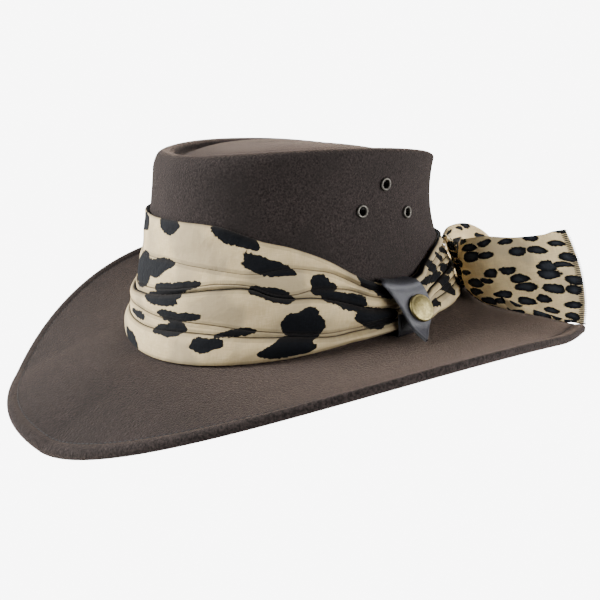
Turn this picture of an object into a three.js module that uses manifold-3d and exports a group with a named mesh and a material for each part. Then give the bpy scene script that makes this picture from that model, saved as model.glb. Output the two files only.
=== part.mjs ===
// A felt bush hat with a pleated scarf round its crown, in millimetres.
// +Z is up, the front of the hat looks along -Y and the wearer's left is +X.
// The origin is on the floor under the middle of the hat.
import * as THREE from 'three';
import { mergeVertices } from 'three/addons/utils/BufferGeometryUtils.js';
import Module from 'manifold-3d';

const wasm = await Module();
wasm.setup();

// Felt body
const felt = 2.5; // thickness of the felt wall
const headWidth = 167; // inside of the crown at its foot, side to side
const headLength = 201.4; // inside of the crown at its foot, front to back
const crownHeight = 95.7; // foot to crest, the mean round the hat
const crestWidth = 147.8; // outside of the crown at its crest, side to side
const crestLength = 165.6; // outside of the crown at its crest, front to back
const crownSquareness = 2.24; // 2 is an ellipse, more is squarer
const crestShift = 1.6; // the crest sits this much further back than the foot
const waistFront = 2.4; // how far the wall draws in between foot and crest, in front
const waistBack = 7.5; // and at the back
const crestTilt = 2.7; // the crest is this much higher in front
const crestSaddle = 3.3; // the crest is this much higher at the sides
const grooveDepth = 10; // crest down to the groove of the telescoped top
const footHeight = 37.5; // crown's foot above the floor, the mean round the hat
const footTilt = 8.5; // the foot is this much lower in front
const footSaddle = 1.5; // the foot is this much lower at front and back
const brimSide = 77.8; // brim width at the sides
const brimEnd = 71.3; // brim width at front and back
const brimSquareness = 2.05; // at the sides
const brimRounding = 0.13; // less square than that in front and squarer at the back
const brimCurl = 51.6; // height of the brim's side edges above the floor
const brimRest = 0.31; // share of the half width, front and back, that lies on the floor
const hemWidth = 7; // turned and stitched edge of the brim
const hemThickness = 5.2;
const seam = 0.3; // gap between pieces that touch

// Scarf
const scarfBulk = 10; // pleated cloth at its thickest
const scarfHem = 0.9; // cloth at the scarf's edges
const knotAngle = 150; // the knot's place, in degrees from the front
const knotWidth = 16; // gathered wrap where the scarf is tied
const knotBulk = 5;
const ruches = 7; // gathers round the knot
const knotColumns = 16; // steps round it
const tailCloth = 1.6; // the folded cloth of the loose ends

// Leather keepers and their snaps
const strap = 1.8; // leather thickness
const keeperAngle = 97.3; // middle of a keeper, in degrees from the front
const keeperWidth = 14.5; // its width in degrees round the crown
const tipReach = 13; // how far a keeper's point stands out past its loop
const tipDrop = 2; // the point's height above the brim
const capDiameter = 15;
const capHeight = 3;

// Ventilation eyelets
const eyeletHole = 4;
const eyeletFlange = 6.6;
const eyeletWall = 0.5;

const columns = 64; // steps round the hat
const degrees = Math.PI / 180;

const footWidth = headWidth + 2 * felt;
const footLength = headLength + 2 * felt;

// Wall of the crown: shares of the way from foot to crest
const wallRows = [0, 0.14, 0.3, 0.48, 0.66, 0.82, 0.915];

// Telescoped top, from the widest line of the crest to the middle. Inset is a
// share of the half width, drop a share of the groove's depth.
const topRows = [
  { inset: 0.008, drop: 0.5 },
  { inset: 0.035, drop: 0.2 },
  { inset: 0.085, drop: 0.02 },
  { inset: 0.13, drop: 0.06 },
  { inset: 0.17, drop: 0.36 },
  { inset: 0.2, drop: 0.78 },
  { inset: 0.24, drop: 1 },
  { inset: 0.29, drop: 0.86 },
  { inset: 0.38, drop: 0.5 },
  { inset: 0.54, drop: 0.2 },
  { inset: 0.76, drop: -0.02 },
];
const topMiddle = -0.08; // drop of the very middle, just above the crest
const insideRows = [0, 2, 4, 6, 9, 11, 13, 15, 17]; // rows of the outside that the inside follows

// Brim: shares of the way from the crown to the edge
const brimRows = [0.1, 0.24, 0.42, 0.62, 0.8];
const underRows = [0.74, 0.45, 0.16];

// Section of the hem. In is a share of its width, up a share of half its thickness.
const hemRows = [
  { in: 1, up: 0.42 },
  { in: 0.62, up: 0.92 },
  { in: 0.2, up: 0.8 },
  { in: 0, up: 0 },
];
const soleRows = [0.18, 0.55]; // flat underside, as shares of the hem's width

// Scarf, as it changes from the front round to the back. Lift and top are shares
// of the crown's height, the folds are shares of the scarf's own height there,
// and low and high are its bulk below and above, as shares of scarfBulk.
const scarfRows = [
  { angle: 0, lift: 0.006, top: 0.69, lowerFold: 0.35, upperFold: 0.5, low: 0.2, high: 0.08 },
  { angle: 18, lift: 0.006, top: 0.69, lowerFold: 0.35, upperFold: 0.5, low: 0.2, high: 0.08 },
  { angle: 38, lift: 0.006, top: 0.666, lowerFold: 0.32, upperFold: 0.57, low: 0.26, high: 0.12 },
  { angle: 55, lift: 0.008, top: 0.583, lowerFold: 0.28, upperFold: 0.617, low: 0.38, high: 0.26 },
  { angle: 66, lift: 0.01, top: 0.535, lowerFold: 0.23, upperFold: 0.6, low: 0.5, high: 0.42 },
  { angle: 77, lift: 0.02, top: 0.455, lowerFold: 0.2, upperFold: 0.59, low: 0.62, high: 0.58 },
  { angle: 90, lift: 0.034, top: 0.312, lowerFold: 0.25, upperFold: 0.56, low: 0.7, high: 0.65 },
  { angle: 98, lift: 0.034, top: 0.272, lowerFold: 0.28, upperFold: 0.57, low: 0.7, high: 0.63 },
  { angle: 107, lift: 0.034, top: 0.295, lowerFold: 0.3, upperFold: 0.58, low: 0.7, high: 0.6 },
  { angle: 123, lift: 0.02, top: 0.395, lowerFold: 0.3, upperFold: 0.6, low: 0.5, high: 0.4 },
  { angle: 142, lift: 0.01, top: 0.425, lowerFold: 0.3, upperFold: 0.6, low: 0.32, high: 0.25 },
  { angle: 180, lift: 0.01, top: 0.46, lowerFold: 0.32, upperFold: 0.62, low: 0.32, high: 0.25 },
];

// Each roll of cloth between two folds: share of the roll and how far it bulges
const rollRows = [
  { share: 0, bulge: 0.55 },
  { share: 0.24, bulge: 0.96 },
  { share: 0.74, bulge: 0.94 },
];

// Loose ends of the scarf, from the knot outwards. Angle and reach place the
// lower edge on the brim, height and lean place the upper edge above it, and
// bow is how far the middle of the cloth hangs back, all as shares of a tail's
// height except the angle and the reach.
const nearTail = {
  height: 52,
  leanAngle: 290,
  ribs: [
    { angle: 154, reach: 0.135, height: 0.58, lean: 0.2, bow: 0 },
    { angle: 145, reach: 0.17, height: 0.65, lean: 0.24, bow: 0 },
    { angle: 133, reach: 0.24, height: 0.7, lean: 0.3, bow: 0.07 },
    { angle: 128.3, reach: 0.44, height: 0.79, lean: 0.34, bow: 0.1 },
    { angle: 127.9, reach: 0.69, height: 0.88, lean: 0.34, bow: 0.03 },
    { angle: 128.5, reach: 0.985, height: 1.08, lean: 0.3, bow: -0.08 },
  ],
};
const farTail = {
  height: 46,
  leanAngle: 290,
  ribs: [
    { angle: 163.5, reach: 0.125, height: 0.62, lean: 0.28, bow: 0 },
    { angle: 164, reach: 0.2, height: 0.8, lean: 0.28, bow: 0.02 },
    { angle: 164.5, reach: 0.32, height: 0.93, lean: 0.2, bow: 0.1 },
    { angle: 165.5, reach: 0.48, height: 0.95, lean: 0.14, bow: 0.14 },
    { angle: 167.5, reach: 0.66, height: 0.9, lean: 0.12, bow: 0.1 },
    { angle: 170, reach: 0.84, height: 0.86, lean: 0.1, bow: 0.04 },
  ],
};

// Loop of a keeper, from its end under the flap round the scarf's section. Out
// goes from the crown to the scarf's face, up from under the scarf to over it,
// and near and far are the places of its edges across the keeper.
const loopRows = [
  { out: 1, up: 0.4, near: 0.22, far: 0.7 },
  { out: 1, up: 0.1, near: 0.2, far: 0.68 },
  { out: 0.86, up: 0, near: 0.2, far: 0.68 },
  { out: 0.12, up: 0, near: 0.2, far: 0.68 },
  { out: 0, up: 0.06, near: 0.2, far: 0.68 },
  { out: 0, up: 0.5, near: 0.2, far: 0.7 },
  { out: 0, up: 0.94, near: 0.18, far: 0.74 },
  { out: 0.12, up: 1, near: 0.14, far: 0.76 },
  { out: 0.84, up: 1, near: 0.04, far: 0.81 },
];

// Flap of a keeper, from the fold at its top down to its point. Down is a share
// of the way to the point, out a share of tipReach, and near and far are the
// places of its two edges across the keeper.
const flapRows = [
  { down: 0, out: 0, near: 0, far: 0.83 },
  { down: 0.12, out: 0, near: 0.065, far: 0.86 },
  { down: 0.38, out: 0.18, near: 0.165, far: 0.85 },
  { down: 0.6, out: 0.34, near: 0.205, far: 0.77 },
  { down: 0.83, out: 0.54, near: 0.255, far: 0.58 },
  { down: 1, out: 1, near: 0.3, far: 0.35 },
];

// Dome of a snap's cap: shares of its radius and its height
const capRows = [
  { round: 1, up: 0.2 },
  { round: 0.98, up: 0.5 },
  { round: 0.86, up: 0.72 },
  { round: 0.5, up: 0.94 },
  { round: 0, up: 1 },
];
const capAcross = 0.54; // middle of the cap across the flap
const capDown = 0.47; // and down it

// Three eyelets on each side: degrees from the front and share of the crown's height
const eyeletPlaces = [
  { angle: 89.4, rise: 0.672 },
  { angle: 110, rise: 0.635 },
  { angle: 98.5, rise: 0.805 },
];

function mix(from, to, share) {
  return from + (to - from) * share;
}

// Value of one column of a table at a place: a cubic through its rows
function lookUp(rows, key, place, column) {
  const next = rows.findIndex((row) => row[key] >= place);
  if (next <= 0) return (next < 0 ? rows.at(-1) : rows[0])[column];
  const step = rows[next][key] - rows[next - 1][key];
  const slope = (i) => {
    const before = rows[Math.max(0, i - 1)];
    const after = rows[Math.min(rows.length - 1, i + 1)];
    return (after[column] - before[column]) / (after[key] - before[key]);
  };
  const t = (place - rows[next - 1][key]) / step;
  const start = rows[next - 1][column];
  const end = rows[next][column];
  return mix(start, end, t * t * (3 - 2 * t))
    + step * t * (1 - t) * (slope(next - 1) * (1 - t) - slope(next) * t);
}

// Point of an oval, its angle measured from the front towards the wearer's left
function oval(width, length, squareness, angle) {
  const across = Math.sin(angle);
  const along = -Math.cos(angle);
  const power = 2 / squareness;
  return {
    x: (width / 2) * Math.sign(across) * Math.abs(across) ** power,
    y: (length / 2) * Math.sign(along) * Math.abs(along) ** power,
  };
}

function footAt(angle) {
  return footHeight - footTilt * Math.cos(angle) - footSaddle * Math.cos(2 * angle);
}

function crestAt(angle) {
  const mean = footHeight + crownHeight;
  return mean + crestTilt * Math.cos(angle) - crestSaddle * Math.cos(2 * angle);
}

// Outside of the crown's wall at a share of its height, moved out by `out`
function wallPoint(angle, rise, out = 0) {
  const depth = mix(waistFront, waistBack, (1 - Math.cos(angle)) / 2);
  const waist = depth * Math.sin(Math.PI * Math.min(1, Math.max(0, rise)) ** 1.3);
  const width = mix(footWidth, crestWidth, rise) + 2 * (out - waist);
  const length = mix(footLength, crestLength, rise) + 2 * (out - waist);
  const { x, y } = oval(width, length, crownSquareness, angle);
  return new THREE.Vector3(x, y + crestShift * rise, mix(footAt(angle), crestAt(angle), rise));
}

// Telescoped top: the crest's oval drawn in, level in the middle
function topPoint(angle, { inset, drop }) {
  const { x, y } = oval(crestWidth * (1 - inset), crestLength * (1 - inset), crownSquareness, angle);
  const level = mix(crestAt(angle), footHeight + crownHeight, inset);
  return new THREE.Vector3(x, y + crestShift, level - drop * grooveDepth);
}

// Height of the brim's upper edge line above the floor
function edgeAt(angle) {
  const share = Math.max(0, (Math.abs(Math.sin(angle)) - brimRest) / (1 - brimRest));
  return brimCurl * share ** 1.46;
}

// Upper face of the brim at a share of the way from the crown to its edge.
// At the ends it falls away from the crown, at the sides it curls up late.
function brimPoint(angle, reach) {
  const inner = oval(footWidth, footLength, crownSquareness, angle);
  const squareness = brimSquareness - brimRounding * Math.cos(angle);
  const outer = oval(footWidth + 2 * brimSide, footLength + 2 * brimEnd, squareness, angle);
  const late = 1.3 + 0.8 * Math.sin(angle) ** 2;
  const edge = edgeAt(angle) + hemThickness / 2 + felt / 2;
  return new THREE.Vector3(
    mix(inner.x, outer.x, reach),
    mix(inner.y, outer.y, reach),
    mix(footAt(angle), edge, reach ** late),
  );
}

function brimWidthAt(angle) {
  return brimPoint(angle, 1).distanceTo(brimPoint(angle, 0));
}

function ringAngles() {
  return Array.from({ length: columns }, (_, column) => (column * 2 * Math.PI) / columns);
}

// Closed skin over rows of points that run round the hat. Rows with one point
// are poles. The last row joins the first when the skin has no poles.
function ringSkin(rows) {
  const position = rows.flat().flatMap((point) => point.toArray());
  const starts = [];
  let start = 0;
  for (const row of rows) {
    starts.push(start);
    start += row.length;
  }
  const index = [];
  const joins = rows[0].length === 1 ? rows.length - 1 : rows.length;
  for (let i = 0; i < joins; i += 1) {
    const j = (i + 1) % rows.length;
    const count = Math.max(rows[i].length, rows[j].length);
    for (let column = 0; column < count; column += 1) {
      const after = (column + 1) % count;
      const low = rows[i].length === 1 ? [starts[i]] : [starts[i] + column, starts[i] + after];
      const high = rows[j].length === 1 ? [starts[j]] : [starts[j] + column, starts[j] + after];
      if (low.length === 2) index.push(low[0], low[1], high.at(-1));
      if (high.length === 2) index.push(low[0], high[1], high[0]);
    }
  }
  return indexed(position, index);
}

function indexed(position, index) {
  const geometry = new THREE.BufferGeometry();
  geometry.setAttribute('position', new THREE.Float32BufferAttribute(position, 3));
  geometry.setIndex(index);
  return facingOut(geometry);
}

// Signed volume of a closed skin, positive when its faces point outwards
function signedVolume(geometry) {
  const position = geometry.getAttribute('position');
  const corner = [new THREE.Vector3(), new THREE.Vector3(), new THREE.Vector3()];
  let volume = 0;
  for (let i = 0; i < geometry.index.count; i += 3) {
    corner.forEach((point, k) => point.fromBufferAttribute(position, geometry.index.getX(i + k)));
    volume += corner[0].dot(corner[1].clone().cross(corner[2])) / 6;
  }
  return volume;
}

function facingOut(geometry) {
  if (signedVolume(geometry) < 0) {
    const { array } = geometry.index;
    for (let i = 0; i < array.length; i += 3) {
      [array[i + 1], array[i + 2]] = [array[i + 2], array[i + 1]];
    }
  }
  geometry.computeVertexNormals();
  return geometry;
}

// Closed skin of a sheet given by two grids of points, its two faces
function sheetSkin(front, rear) {
  const sections = front.map((row, i) => [...row, ...rear[i].toReversed()]);
  const position = sections.flat().flatMap((point) => point.toArray());
  const around = sections[0].length;
  const index = [];
  for (let i = 0; i + 1 < sections.length; i += 1) {
    for (let k = 0; k < around; k += 1) {
      const next = (k + 1) % around;
      const here = i * around;
      const there = here + around;
      index.push(here + k, here + next, there + next, here + k, there + next, there + k);
    }
  }
  const last = (sections.length - 1) * around;
  for (let k = 0; k + 1 < around / 2; k += 1) {
    const mate = around - 1 - k;
    index.push(k, mate, mate - 1, k, mate - 1, k + 1);
    index.push(last + k, last + mate - 1, last + mate, last + k, last + k + 1, last + mate - 1);
  }
  return indexed(position, index);
}

// The same piece for the other side of the hat
function mirrored(geometry) {
  const copy = geometry.clone().scale(-1, 1, 1);
  return facingOut(copy);
}

function solidOf(geometry) {
  const bare = new THREE.BufferGeometry();
  bare.setAttribute('position', geometry.getAttribute('position').clone());
  if (geometry.index) bare.setIndex(geometry.index.clone());
  const merged = mergeVertices(bare, 1e-4);
  const mesh = new wasm.Mesh({
    numProp: 3,
    vertProperties: new Float32Array(merged.getAttribute('position').array),
    triVerts: new Uint32Array(merged.index.array),
  });
  return new wasm.Manifold(mesh);
}

function geometryOf(solid) {
  const { vertProperties, triVerts } = solid.getMesh();
  return indexed(Array.from(vertProperties), Array.from(triVerts));
}

// Outside of the crown from its foot over the crest to the last ring of the top
function crownOutside() {
  const wall = wallRows.map((rise) => ringAngles().map((angle) => wallPoint(angle, rise)));
  const top = topRows.map((row) => ringAngles().map((angle) => topPoint(angle, row)));
  return [...wall, ...top];
}

// The outside moved in by the felt's thickness, square to the surface. The foot
// moves in level, so that the crown stands flat on the brim.
function crownInside(outside) {
  return outside.map((row, i) => row.map((point, column) => {
    const before = row[(column + columns - 1) % columns];
    const after = row[(column + 1) % columns];
    const below = outside[Math.max(0, i - 1)][column];
    const above = outside[Math.min(outside.length - 1, i + 1)][column];
    const normal = after.clone().sub(before).cross(above.clone().sub(below));
    if (i === 0) normal.z = 0;
    return point.clone().addScaledVector(normal.normalize(), -felt);
  }));
}

function crownGeometry() {
  const outside = crownOutside();
  const middle = footHeight + crownHeight - topMiddle * grooveDepth;
  const inside = crownInside(outside).filter((_, i) => insideRows.includes(i));
  const rows = [
    [new THREE.Vector3(0, crestShift, middle - felt)],
    ...inside.toReversed(),
    ...outside,
    [new THREE.Vector3(0, crestShift, middle)],
  ];
  let solid = solidOf(ringSkin(rows).translate(0, 0, seam));
  for (const place of eyeletSeats()) {
    const drill = new THREE.CylinderGeometry(eyeletBarrel / 2 + seam, eyeletBarrel / 2 + seam, felt * 4, 12);
    solid = solid.subtract(solidOf(drill.applyMatrix4(place)));
  }
  return geometryOf(solid);
}

const eyeletBarrel = eyeletHole + 2 * eyeletWall;

// Frame of each eyelet on the left side, then on the right: the origin on the
// outside of the wall and Y square to it
function eyeletSeats() {
  return [1, -1].flatMap((side) => eyeletPlaces.map(({ angle, rise }) => {
    const place = side * angle * degrees;
    const step = 0.02;
    const point = wallPoint(place, rise);
    const round = wallPoint(place + step, rise).sub(wallPoint(place - step, rise));
    const up = wallPoint(place, rise + step).sub(wallPoint(place, rise - step));
    const out = round.clone().cross(up).normalize();
    point.z += seam;
    const turn = new THREE.Quaternion().setFromUnitVectors(new THREE.Vector3(0, 1, 0), out);
    return new THREE.Matrix4().compose(point, turn, new THREE.Vector3(1, 1, 1));
  }));
}

// Eyelet turned about its own axis: a barrel through the felt with a rolled
// flange on the outside and a washer on the inside
function eyeletGeometry() {
  const hole = eyeletHole / 2;
  const barrel = eyeletBarrel / 2;
  const flange = eyeletFlange / 2;
  const outer = seam;
  const inner = -felt - seam;
  const profile = [
    [hole, inner - eyeletWall],
    [flange, inner - eyeletWall],
    [flange, inner],
    [barrel, inner],
    [barrel, outer],
    [flange, outer],
    [mix(hole, flange, 0.62), outer + 2 * eyeletWall],
    [hole, outer + eyeletWall],
  ].map(([radius, height]) => new THREE.Vector2(radius, height));
  profile.push(profile[0].clone());
  return new THREE.LatheGeometry(profile, 10);
}

function brimGeometry() {
  const angles = ringAngles();
  const inner = (angle, down) => {
    const { x, y } = oval(headWidth, headLength, crownSquareness, angle);
    return new THREE.Vector3(x, y, footAt(angle) - down);
  };
  const face = (reach, down) => angles.map((angle) => {
    const point = brimPoint(angle, reach);
    point.z -= down;
    return point;
  });
  const atHem = (share) => (angle) => 1 - (share * hemWidth) / brimWidthAt(angle);
  const hem = hemRows.map((row) => angles.map((angle) => {
    const point = brimPoint(angle, atHem(row.in)(angle));
    point.z += (row.up * hemThickness - felt) / 2;
    return point;
  }));
  const sole = soleRows.map((share) => angles.map((angle) => {
    const point = brimPoint(angle, atHem(share)(angle));
    point.z = edgeAt(angle);
    return point;
  }));
  const turned = angles.map((angle) => {
    const point = brimPoint(angle, atHem(1)(angle));
    point.z -= felt;
    return point;
  });
  return ringSkin([
    angles.map((angle) => inner(angle, 0)),
    face(0, 0),
    ...brimRows.map((reach) => face(reach, 0)),
    ...hem,
    ...sole,
    turned,
    ...underRows.map((reach) => face(reach, felt)),
    angles.map((angle) => inner(angle, felt)),
  ]);
}

function scarfAt(angle, column) {
  const turned = Math.abs(THREE.MathUtils.euclideanModulo(angle / degrees + 180, 360) - 180);
  return lookUp(scarfRows, 'angle', turned, column);
}

// How far the scarf stands off the crown: a seam's gap, with room for the
// leather that passes behind it at the keepers
function scarfGap(angle) {
  const turned = Math.abs(THREE.MathUtils.euclideanModulo(angle / degrees + 180, 360) - 180);
  const away = Math.abs(turned - keeperAngle) / keeperWidth;
  const room = THREE.MathUtils.clamp(3 - 3 * away, 0, 1);
  return seam + room * (strap + seam);
}

// Point of the scarf at a share of its height, a distance out from the crown
function scarfPoint(angle, share, out) {
  const rise = mix(scarfAt(angle, 'lift'), scarfAt(angle, 'top'), share);
  const point = wallPoint(angle, rise, out);
  point.z += seam;
  return point;
}

// Outline of the pleated scarf's section at an angle: shares of its height with
// distances out from the crown, up its face and down its back
function scarfSection(angle) {
  const gap = scarfGap(angle);
  const folds = [0, scarfAt(angle, 'lowerFold'), scarfAt(angle, 'upperFold'), 1];
  const bulkAt = (share) => scarfBulk * mix(scarfAt(angle, 'low'), scarfAt(angle, 'high'), share);
  const section = [{ share: 0, out: gap + scarfHem }];
  for (let roll = 0; roll < 3; roll += 1) {
    for (const row of rollRows) {
      const share = mix(folds[roll], folds[roll + 1], roll === 0 ? mix(0.05, 1, row.share) : row.share);
      const taper = mix(1, 0.5, roll === 2 ? row.share : 0);
      section.push({ share, out: gap + scarfHem + bulkAt(share) * row.bulge * taper });
    }
  }
  section.push({ share: 1, out: gap + scarfHem });
  for (const share of [0.99, 0.5, 0.01]) section.push({ share, out: gap });
  return section;
}

function scarfGeometry() {
  const sections = ringAngles().map((angle) => scarfSection(angle).map(
    ({ share, out }) => scarfPoint(angle, share, out),
  ));
  return ringSkin(sections[0].map((_, row) => sections.map((section) => section[row])));
}

// How far the scarf's face stands out from the crown at an angle
function scarfFace(angle) {
  return Math.max(...scarfSection(angle).map(({ out }) => out));
}

function keeperAngleAt(across) {
  return (keeperAngle + keeperWidth * (across - 0.5)) * degrees;
}

// Point of a keeper's leather, given by its place across the strap, its
// distance out from the crown and its height above the foot
function strapPoint(across, out, height) {
  const angle = keeperAngleAt(across);
  const rise = height / (crestAt(angle) - footAt(angle));
  return wallPoint(angle, rise, out);
}

// Loop of a keeper's middle line: the face of the scarf, under it, up behind
// it and over its top
function loopPoint(across, { out, up, near, far }) {
  const place = mix(near, far, across);
  const angle = keeperAngleAt(place);
  const half = strap / 2 + seam;
  const face = scarfFace(angle) + half;
  const bottom = scarfPoint(angle, 0, 0).z - footAt(angle) - half;
  const top = scarfPoint(angle, 1, 0).z - footAt(angle) + half;
  return strapPoint(place, mix(half, face, out), mix(bottom, top, up));
}

// Flap of a keeper at a share of the way down to its point. Below its fold it
// lies over the end of the loop.
function flapPoint(across, down) {
  const place = mix(lookUp(flapRows, 'down', down, 'near'), lookUp(flapRows, 'down', down, 'far'), across);
  const angle = keeperAngleAt(place);
  const half = strap / 2 + seam;
  const layer = (strap + seam) * THREE.MathUtils.smoothstep(down, -0.05, 0.18);
  const face = scarfFace(angle) + half + layer;
  const out = face + tipReach * lookUp(flapRows, 'down', down, 'out');
  const top = scarfPoint(angle, 1, 0).z;
  const tipPlace = keeperAngleAt(flapRows.at(-1).near);
  const tip = brimPoint(tipPlace, (face + tipReach) / brimWidthAt(tipPlace)).z + tipDrop;
  return strapPoint(place, out, mix(top, tip, down) - footAt(angle));
}

// Moves a grid's points square to its surface, by half the sheet each way
function bothFaces(grid, thickness) {
  const moved = (distance) => grid.map((row, i) => row.map((point, k) => {
    const along = grid[Math.min(grid.length - 1, i + 1)][k].clone().sub(grid[Math.max(0, i - 1)][k]);
    const across = row[Math.min(row.length - 1, k + 1)].clone().sub(row[Math.max(0, k - 1)]);
    return point.clone().addScaledVector(along.cross(across).normalize(), distance);
  }));
  return sheetSkin(moved(thickness / 2), moved(-thickness / 2));
}

function steps(count) {
  return Array.from({ length: count + 1 }, (_, i) => i / count);
}

// Keeper: a strap round the scarf that ends in a pointed flap under its snap
function keeperGeometry() {
  const places = steps(3);
  const loop = loopRows.map((row) => places.map((across) => loopPoint(across, row)));
  const flap = steps(7).map((down) => places.map((across) => flapPoint(across, down)));
  return bothFaces([...loop, ...flap], strap);
}

// Snap's cap: a shallow dome on a straight rim
function capGeometry() {
  const radius = capDiameter / 2;
  const profile = [[0, 0], [radius * 0.94, 0]];
  for (const { round, up } of capRows) profile.push([radius * round, capHeight * up]);
  return new THREE.LatheGeometry(profile.map(([x, y]) => new THREE.Vector2(x, y)), 16);
}

// Frame of a snap: the origin on the flap's face and Y square to it
function capSeat() {
  const step = 0.05;
  const point = flapPoint(capAcross, capDown);
  const round = flapPoint(capAcross + step, capDown).sub(flapPoint(capAcross - step, capDown));
  const up = flapPoint(capAcross, capDown - step).sub(flapPoint(capAcross, capDown + step));
  const out = round.cross(up).normalize();
  point.addScaledVector(out, strap / 2 + seam);
  const turn = new THREE.Quaternion().setFromUnitVectors(new THREE.Vector3(0, 1, 0), out);
  return new THREE.Matrix4().compose(point, turn, new THREE.Vector3(1, 1, 1));
}

// Gathered wrap where the scarf is tied: a flat-backed spindle that stands on
// the scarf, with ruches round it
function knotGeometry() {
  const middle = knotAngle * degrees;
  const across = knotWidth / 2;
  const reach = oval(footWidth, footLength, crownSquareness, middle);
  const radius = Math.hypot(reach.x, reach.y);
  const spread = across / radius;
  const back = Math.max(scarfFace(middle - spread), scarfFace(middle + spread)) + seam;
  const point = (up, turn) => {
    const swell = Math.sin(Math.PI * up) ** 0.7;
    const ruche = 1 + 0.1 * Math.cos(ruches * turn + 2.5 * up);
    const out = back + (knotBulk / 2) * swell * (1 + Math.cos(turn) * ruche);
    return scarfPoint(middle + spread * swell * Math.sin(turn) * ruche, mix(-0.01, 0.99, up), out);
  };
  const rows = steps(12).slice(1, -1).map((up) => Array.from(
    { length: knotColumns },
    (_, k) => point(up, (k * 2 * Math.PI) / knotColumns),
  ));
  return ringSkin([[point(0, 0)], ...rows, [point(1, 0)]]);
}

// Loose end of the scarf: cloth that stands on the brim on its lower edge and
// fans out from the knot
function tailGeometry({ height, leanAngle, ribs }) {
  const lean = leanAngle * degrees;
  const back = new THREE.Vector3(Math.sin(lean), -Math.cos(lean), 0);
  const rows = ribs.map((rib, i) => ({ ...rib, along: i / (ribs.length - 1) }));
  const at = (along, column) => lookUp(rows, 'along', along, column);
  const grid = steps(10).map((along) => steps(6).map((up) => {
    const reach = at(along, 'reach');
    const foot = brimPoint(at(along, 'angle') * degrees, reach);
    const overHem = ((hemThickness - felt) / 2) * THREE.MathUtils.smoothstep(reach, 0.85, 0.91);
    foot.z += seam + tailCloth / 2 + overHem;
    const aside = at(along, 'lean') * up + at(along, 'bow') * 4 * up * (1 - up);
    foot.z += height * at(along, 'height') * up;
    return foot.addScaledVector(back, height * aside);
  }));
  return bothFaces(grid, tailCloth);
}

const material = (name, color, roughness, metalness = 0) => {
  const finish = new THREE.MeshStandardMaterial({ color, roughness, metalness });
  finish.name = name;
  return finish;
};
const feltFinish = material('felt', 0x5a4c44, 0.95);
const scarfFinish = material('scarf_cloth', 0xd2c0a0, 0.8);
const leatherFinish = material('leather', 0x4a4a4d, 0.5);
const brassFinish = material('brass', 0xb9b186, 0.4, 1);
const nickelFinish = material('nickel', 0x77746f, 0.35, 1);

const hat = new THREE.Group();

function add(name, geometry, finish) {
  const mesh = new THREE.Mesh(geometry, finish);
  mesh.name = name;
  hat.add(mesh);
  return mesh;
}

add('crown', crownGeometry(), feltFinish);
add('brim', brimGeometry(), feltFinish);
add('scarf_band', scarfGeometry(), scarfFinish);
add('scarf_knot', knotGeometry(), scarfFinish);
add('scarf_tail_near', tailGeometry(nearTail), scarfFinish);
add('scarf_tail_far', tailGeometry(farTail), scarfFinish);

const keeper = keeperGeometry();
add('keeper_left', keeper, leatherFinish);
add('keeper_right', mirrored(keeper), leatherFinish);
const cap = capGeometry().applyMatrix4(capSeat());
add('snap_cap_left', cap, brassFinish);
add('snap_cap_right', mirrored(cap), brassFinish);

eyeletSeats().forEach((seat, i) => {
  const side = i < eyeletPlaces.length ? 'left' : 'right';
  const mesh = add(`eyelet_${side}_${(i % eyeletPlaces.length) + 1}`, eyeletGeometry(), nickelFinish);
  mesh.applyMatrix4(seat);
});

export default hat;
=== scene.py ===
"""Looks of a felt bush hat with a pleated scarf, built round its fixed frame.

The hat's front looks along -Y and the wearer's left is +X. Angles go round the
hat from the front towards the wearer's left. Shapes are worked out in
millimetres, as in the part's source, and put into the meshes in metres.
"""

import bpy
import numpy as np
from mathutils import Matrix


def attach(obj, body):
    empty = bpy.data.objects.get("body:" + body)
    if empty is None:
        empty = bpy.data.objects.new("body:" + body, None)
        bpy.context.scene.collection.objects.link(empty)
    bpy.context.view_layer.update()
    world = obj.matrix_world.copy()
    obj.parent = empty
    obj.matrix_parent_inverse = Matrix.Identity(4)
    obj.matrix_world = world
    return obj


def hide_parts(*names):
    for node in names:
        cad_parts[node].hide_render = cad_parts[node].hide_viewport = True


bl_info = {
    "name": "Bush hat",
    "version": (1, 0, 0),
    "blender": (4, 5, 0),
    "location": "View3D > Sidebar > Bush hat",
    "description": "Dresses the frame of a felt bush hat with felt, scarf, leather and metal",
    "category": "Add Mesh",
}

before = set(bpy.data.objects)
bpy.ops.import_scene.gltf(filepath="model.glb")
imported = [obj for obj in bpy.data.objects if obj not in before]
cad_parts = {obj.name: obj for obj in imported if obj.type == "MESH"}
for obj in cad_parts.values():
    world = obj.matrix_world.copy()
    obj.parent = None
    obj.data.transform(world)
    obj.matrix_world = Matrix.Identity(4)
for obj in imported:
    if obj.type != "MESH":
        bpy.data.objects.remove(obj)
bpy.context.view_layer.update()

MM = 0.001
TURN = 2 * np.pi


# tables and curves


def table(names, rows):
    """Columns of a short table by name."""
    return dict(zip(names.split(), np.array(rows, float).T))


def cubic(x, y, place):
    """Cubic through values y at x, along the last axis. The slope at each of them
    is that between its neighbours, as in the part's source."""
    i = np.clip(np.searchsorted(x, place) - 1, 0, len(x) - 2)
    before = np.maximum(np.arange(len(x)) - 1, 0)
    after = np.minimum(np.arange(len(x)) + 1, len(x) - 1)
    slope = (y[..., after] - y[..., before]) / (x[after] - x[before])
    step = x[i + 1] - x[i]
    t = (place - x[i]) / step
    rise = y[..., i] + (y[..., i + 1] - y[..., i]) * t * t * (3 - 2 * t)
    return rise + step * t * (1 - t) * (slope[..., i] * (1 - t) - slope[..., i + 1] * t)


def look_up(rows, key, column, place):
    """Value of a table's column at a place in its key column."""
    return cubic(rows[key], rows[column], np.clip(place, rows[key][0], rows[key][-1]))


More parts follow.
